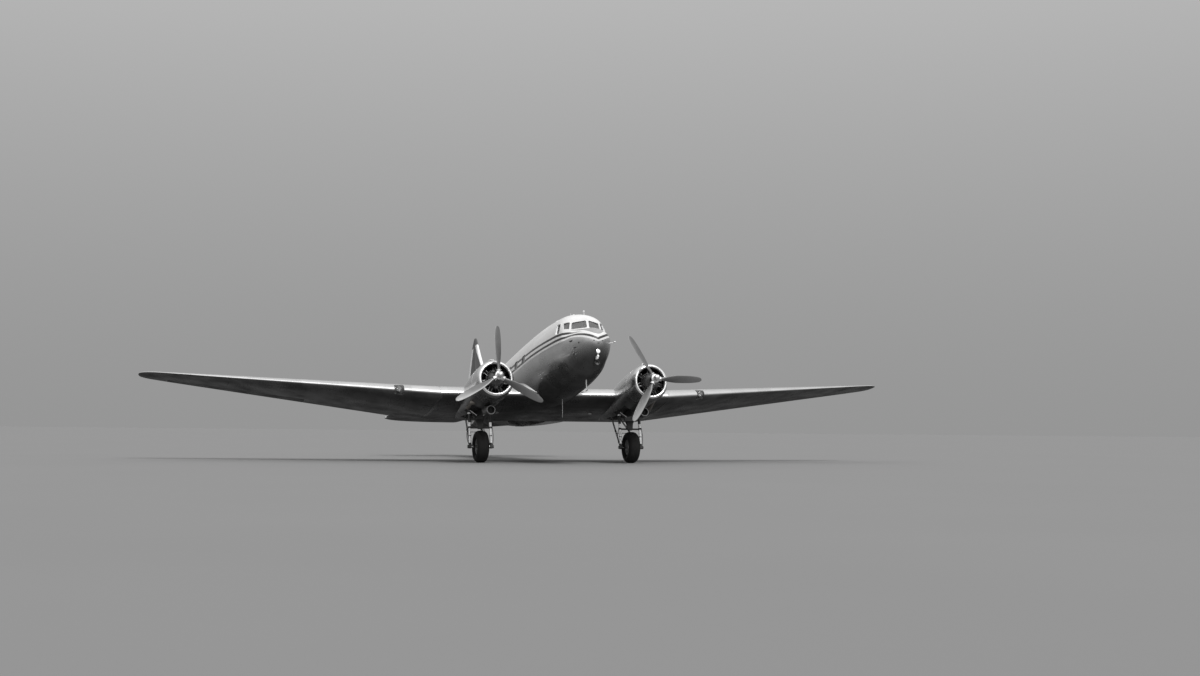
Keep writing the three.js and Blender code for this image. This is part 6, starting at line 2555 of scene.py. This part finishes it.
@dataclass
class MainGear:
    """One main leg frame with its braces and wheel. x is counted from the leg's middle."""

    palette: Palette
    side: Side
    leg_x: float = 0.38
    leg_top: float = -0.4
    # Lengths of a leg: top, foot, radius, and finish (bright paint with a painted sky reflection, plated or
    # black).
    leg_parts: Sequence[tuple[float, float, float, int]] = (
        (-0.4, -1.05, 0.05, 2), (-1.04, -1.22, 0.048, 0), (-1.2, -1.26, 0.055, 2), (-1.24, -1.92, 0.043, 0),
        (-1.515, -1.545, 0.05, 2), (-0.7, -0.74, 0.057, 0), (-1.79, -1.84, 0.048, 2),
    )
    # The boss that holds the axle and the nut at its end, as radius and distance out.
    boss: Points = ((0.0, -0.045), (0.05, -0.045), (0.06, -0.032), (0.06, 0.03), (0.05, 0.045), (0.0, 0.045))
    nut: Points = ((0.0, 0.468), (0.026, 0.468), (0.03, 0.474), (0.0, 0.477))
    # Gusset between the legs: half width, half depth, height.
    gusset: Points = ((0.14, 0.02, -0.93), (0.13, 0.04, -0.97), (0.1, 0.045, -1.22), (0.08, 0.03, -1.285))
    # The brake hose bows away from the leg: share of the bow, distance aft, height.
    hose: Points = ((0.0, -0.03, -1.19), (1.0, -0.05, -1.48), (0.7, -0.05, -1.72), (0.0, -0.05, -1.86))
    hose_bows: tuple[float, float] = (0.07, 0.028)
    # Half lengths of the axle, of the shaft at the legs' top and of the one at the braces' peak.
    axle_half: float = 0.47
    top_half: float = 0.4495
    peak_half: float = 0.2895
    peak: tuple[float, float] = (7.08, -0.47)
    peak_x: float = 0.15
    # From the axle to the braces' lugs, and from a lug to the brace's end.
    lug: tuple[float, float] = (0.0623, 0.03)
    brace_foot: tuple[float, float] = (0.032, 0.034)
    collars: Sequence[float] = (0.12, 0.5, 0.9)
    tyre_radius: float = 0.5715
    tyre_rim: float = 0.285
    tyre_width: float = 0.43
    wheel_bore: float = 0.0445

    def leg(self, hand: int, bow: float) -> Draft:
        """One leg with its axle end, struts and brake hose.

        Args:
            hand: 1 for the leg at port of the wheel, -1 for the other.
            bow: How far its brake hose bows out.

        Returns:
            The leg.
        """
        (station, height), x = MAIN_AXLE, hand * self.leg_x
        top, leg = station + 0.02, Draft()
        for high, low, radius, mark in self.leg_parts:
            aft = [0.02 * max(z + 1.24, 0) / 0.84 + 0.008 * (z > -1.6) for z in (high, low)]
            leg.tube([(x, station + aft[0], high), (x, station + aft[1], low)], radius, 24, mark)
        low, high = (x - 0.05, station - 0.062, height - 0.062), (x + 0.05, station + 0.062, height + 0.085)
        leg.block(low, high, 0.014, 2)
        leg.turn(self.boss, 24, (x + hand * 0.05, station, height), "X", 2)
        leg.turn([(r, hand * out) for r, out in self.nut], 6, (0, station, height), "X", 1)
        leg.tube([(x, top, self.leg_top - 0.06), (0, station + 0.01, -1.27)], 0.026, 16, 2)
        leg.tube([(x * 0.92, top - 0.05, -0.62), (x * 0.3, top - 0.06, -0.8)], 0.012, 10)
        hose = [(x + hand * (0.05 + bow * share), station + aft, z) for share, aft, z in self.hose]
        return leg.tube(rounded(hose, 6), 0.011, 10, 2)

    def build_frame(self, origin: Point) -> None:
        """Makes the legs, shafts and gusset.

        Args:
            origin: The thrust line's foot.
        """
        palette, (station, height) = self.palette, MAIN_AXLE
        frame_draft = Draft()
        for hand, bow in zip((-1, 1), self.hose_bows):
            frame_draft.join(self.leg(hand, bow))
        for half, aft, level, radius, sides, mark in (
            (self.top_half, 0.02, self.leg_top, 0.045, 24, 2),
            (self.leg_x, 0.01, -1.24, 0.03, 18, 2),
            (self.axle_half, 0.0, height, 0.042, 28, 1),
        ):
            y = station + aft
            frame_draft.tube([(-half, y, level), (half, y, level)], radius, sides, mark)
        corners = ((-1, -1), (1, -1), (1, 1), (-1, 1))
        frame_draft.loft([[(half * way, station + 0.01 + deep * turn, z) for way, turn in corners]
                          for half, deep, z in self.gusset], 2)
        side_piece(self.side, "leg_frame", frame_draft, [palette.strut, palette.chrome, palette.black],
                   node="main_gear", slot="steel", origin=origin)

    def build_brace(self, origin: Point) -> None:
        """Makes the two rear braces with their lugs, collars, peak shaft and cross tube.

        Args:
            origin: The thrust line's foot.
        """
        (station, height), brace = MAIN_AXLE, Draft()
        y, z = station + self.lug[0], height + self.lug[1]
        lugs, ends = [], []
        for hand in (-1, 1):
            x = hand * self.leg_x
            foot = Vector((x, y + self.brace_foot[0], z + self.brace_foot[1]))
            end = Vector((hand * self.peak_x, *self.peak))
            brace.tube([foot, end], 0.03, 20)
            brace.block((x - 0.03, y, z - 0.03), (x + 0.03, y + 0.06, z + 0.06), 0.008, 1)
            for share in self.collars:
                middle, way = foot.lerp(end, share), (end - foot).normalized() * 0.025
                brace.tube([middle - way, middle + way], 0.037, 18, 1)
            lugs.append(Vector((x, y, z)))
            ends.append(end)
        brace.tube([(-self.peak_half, *self.peak), (self.peak_half, *self.peak)], 0.038, 20, 1)
        brace.tube([lugs[i].lerp(ends[i], 0.45) for i in (1, 0)], 0.014, 12)
        side_piece(self.side, "rear_brace", brace, [self.palette.silver, self.palette.black],
                   node="gear_brace",
                   slot="steel", origin=origin)

    def build(self) -> None:
        """Makes the legs, axle, braces and wheel."""
        x, word = self.side.value * ENGINE_OFFSET, self.side.word
        self.build_frame((x, 0.0, 0.0))
        self.build_brace((x, 0.0, 0.0))
        Wheel(self.palette, f"main_{word}", f"main_wheel_{word}", (f"main_{word}_tyre", f"main_{word}_wheel"),
              (x, *MAIN_AXLE), self.tyre_radius, self.tyre_rim, self.tyre_width, self.wheel_bore).build()


@dataclass
class TailGear:
    """The tail wheel with its leg and castering fork, built upright on the ground about its axle."""

    palette: Palette
    trail: float = 0.15
    crown: float = 0.345
    boss: float = 0.395
    leg_height: float = 1.3
    pin_radius: float = 0.03
    pin_top: float = 0.128
    bands: Sequence[float] = (0.46, 0.58, 0.7)
    # A fork arm's inner and outer side, and its sections: distance aft of the swivel or axle, height, width.
    arm_sides: tuple[float, float] = (0.118, 0.15)
    arm: Points = ((-0.195, 0.345, 0.08), (-0.14, 0.22, 0.085), (-0.085, 0.1, 0.085), (-0.045, -0.025, 0.08))
    # The axle's end, as radius and distance out.
    axle_end: Points = (
        (0.0, 0.117), (0.046, 0.117), (0.05, 0.122), (0.05, 0.147), (0.044, 0.152), (0.0, 0.152),
    )
    tyre_radius: float = 0.2795
    tyre_rim: float = 0.13
    tyre_width: float = 0.2
    wheel_bore: float = 0.0245
    tyre_facets: int = 20

    def leg(self) -> Draft:
        """The leg's tube, closed at its top, with its bands.

        Returns:
            The leg.
        """
        at, top, bore = (0, -self.trail, 0), self.leg_height - 0.005, self.pin_radius + 0.001
        leg = Draft().turn([
            (bore, self.boss), (0.07, self.boss), (0.075, self.boss + 0.01), (0.075, top), (0.0, top),
            (0.0, self.boss + 0.13), (bore, self.boss + 0.13),
        ], 36, at, "Z", 0, True)
        for level in self.bands:
            leg.turn([(0.0755, level), (0.083, level + 0.006), (0.083, level + 0.024),
                      (0.0755, level + 0.03)],
                     36, at, "Z", 1, True)
        return leg

    def fork(self) -> Draft:
        """The fork with its kingpin and axle.

        Returns:
            The fork.
        """
        fork = Draft().turn(stub(self.pin_radius, self.crown - 0.02, self.boss + self.pin_top), 28,
                            (0, -self.trail, 0), "Z", 1)
        inner, outer = self.arm_sides
        middle, crown = -self.trail, self.crown
        fork.block((-outer, middle - 0.06, crown - 0.04), (outer, middle + 0.06, crown + 0.02), 0.015)
        for hand in (-1, 1):
            x0, x1 = hand * inner, hand * outer
            fork.loft([[(x0, y, z), (x1, y + 0.008, z), (x1, y + wide - 0.008, z), (x0, y + wide, z)]
                       for y, z, wide in self.arm])
            fork.turn([(r, hand * out) for r, out in self.axle_end], 28, mark=1, axis="X")
        return fork.tube([(-0.151, 0, 0), (0.151, 0, 0)], 0.022, 24, 1)

    def build(self) -> None:
        """Makes the leg, the fork and the wheel."""
        palette = self.palette
        low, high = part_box("tail_wheel")
        axle = tuple(PARKED.inverted() @ ((low + high) / 2))
        upright = Matrix.Rotation(PARKING_ANGLE, 4, "X")
        for name, draft, body, node, finishes in (
            ("tail_leg_tube", self.leg(), "airframe", "tail_gear_leg", [palette.silver, palette.black]),
            ("tail_fork_arms", self.fork(), "tail_fork", "tail_fork", [palette.silver, palette.steel]),
        ):
            Piece(name, Draft().join(draft, upright), finishes, body, "steel", [node], axle).build()
        Wheel(palette, "tail", "tail_wheel", ("tail_tyre", "tail_wheel"), axle, self.tyre_radius,
              self.tyre_rim,
              self.tyre_width, self.wheel_bore, self.tyre_facets).build()


# The studio


@dataclass
class Studio:
    """Floor, light and the photograph's camera."""

    camera_place: Point = (-15.726, -54.476, 1.231)
    yaw: float = 17.638
    pitch: float = 3.325
    roll: float = 0.543
    focal_pixels: float = 1566.78
    picture_width: int = 1200
    sensor: float = 36.0
    # Brightness of the sky, and the share that is added to it in front of the nose.
    horizon: float = 0.3
    zenith: float = 0.95
    front_boost: float = 0.75
    key_energy: float = 2.7
    key_from: Point = (0.1, -0.7, 0.8)
    floor_tone: float = 0.165
    floor_reach: float = 600.0

    def build_camera(self) -> None:
        """Makes the camera, placed from the middle of the main wheels' tracks."""
        yaw, pitch, roll = (radians(a) for a in (self.yaw, self.pitch, self.roll))
        ahead = Vector((sin(yaw) * cos(pitch), cos(yaw) * cos(pitch), sin(pitch)))
        right = Vector((cos(yaw), -sin(yaw), 0))
        up = right.cross(ahead)
        right, up = right * cos(roll) + up * sin(roll), up * cos(roll) - right * sin(roll)
        low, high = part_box("main_port_wheel")
        data = bpy.data.cameras.new("camera")
        data.sensor_width = self.sensor
        data.lens = self.focal_pixels / self.picture_width * self.sensor
        data.clip_start, data.clip_end = 0.5, 2000.0
        camera = bpy.data.objects.new("camera", data)
        bpy.context.scene.collection.objects.link(camera)
        turn = Matrix((right, up, -ahead)).transposed().to_4x4()
        place = Vector(self.camera_place) + Vector((0, (low.y + high.y) / 2, 0))
        camera.matrix_world = Matrix.Translation(place) @ turn
        bpy.context.scene.camera = camera

    def build_floor(self) -> None:
        """Makes the pale floor."""
        graph, at = Graph.start("floor")
        tone = graph.shaded(grey(self.floor_tone), graph.noise(at.vector, 0.15, 4.0) * 0.06 + 0.97)
        finish = graph.finish({"Base Color": tone, "Roughness": 0.9})
        mesh, reach = bpy.data.meshes.new("floor"), self.floor_reach
        corners = [(-reach, -reach, 0), (reach, -reach, 0), (reach, reach, 0), (-reach, reach, 0)]
        mesh.from_pydata(corners, [], [(0, 1, 2, 3)])
        mesh.materials.append(finish)
        floor = bpy.data.objects.new("floor", mesh)
        bpy.context.scene.collection.objects.link(floor)

    def build_light(self) -> None:
        """Makes a soft sky, brighter overhead and in front of the nose, and one broad soft key light."""
        graph = SkyGraph("sky")
        x, y, z = graph.direction()
        front = (y * -0.95 - x * 0.3).rise(-0.1, 1.0)
        level = z.rise(-0.05, 0.9) * (self.zenith - self.horizon) + self.horizon
        bpy.context.scene.world = graph.glow(level * (front * self.front_boost + 1))
        bpy.context.scene.view_settings.view_transform = "Standard"
        data = bpy.data.lights.new("key", "SUN")
        data.energy = self.key_energy
        data.angle = radians(20)
        key = bpy.data.objects.new("key", data)
        bpy.context.scene.collection.objects.link(key)
        key.matrix_world = Vector(self.key_from).to_track_quat("Z", "Y").to_matrix().to_4x4()

    def build(self) -> None:
        """Makes the whole studio."""
        self.build_floor()
        self.build_light()


def main() -> None:
    """Builds the aircraft and the studio, in order."""
    logging.basicConfig(level=logging.INFO, format="%(message)s")
    studio = Studio()
    studio.build_camera()
    palette = Palette()
    hull = Hull(palette)
    wing = Wing(palette)
    door = CabinDoor(palette, hull)
    hull.build(door.pocket(), wing)
    door.build()
    Cockpit(palette).build()
    wing.build()
    Tail(palette).build()
    for side, first_blade in ((Side.STARBOARD, 0.0), (Side.PORT, -30.0)):
        PowerUnit(palette, side, first_blade).build()
        MainGear(palette, side).build()
    TailGear(palette).build()
    studio.build()


if __name__ == "__main__":
    main()
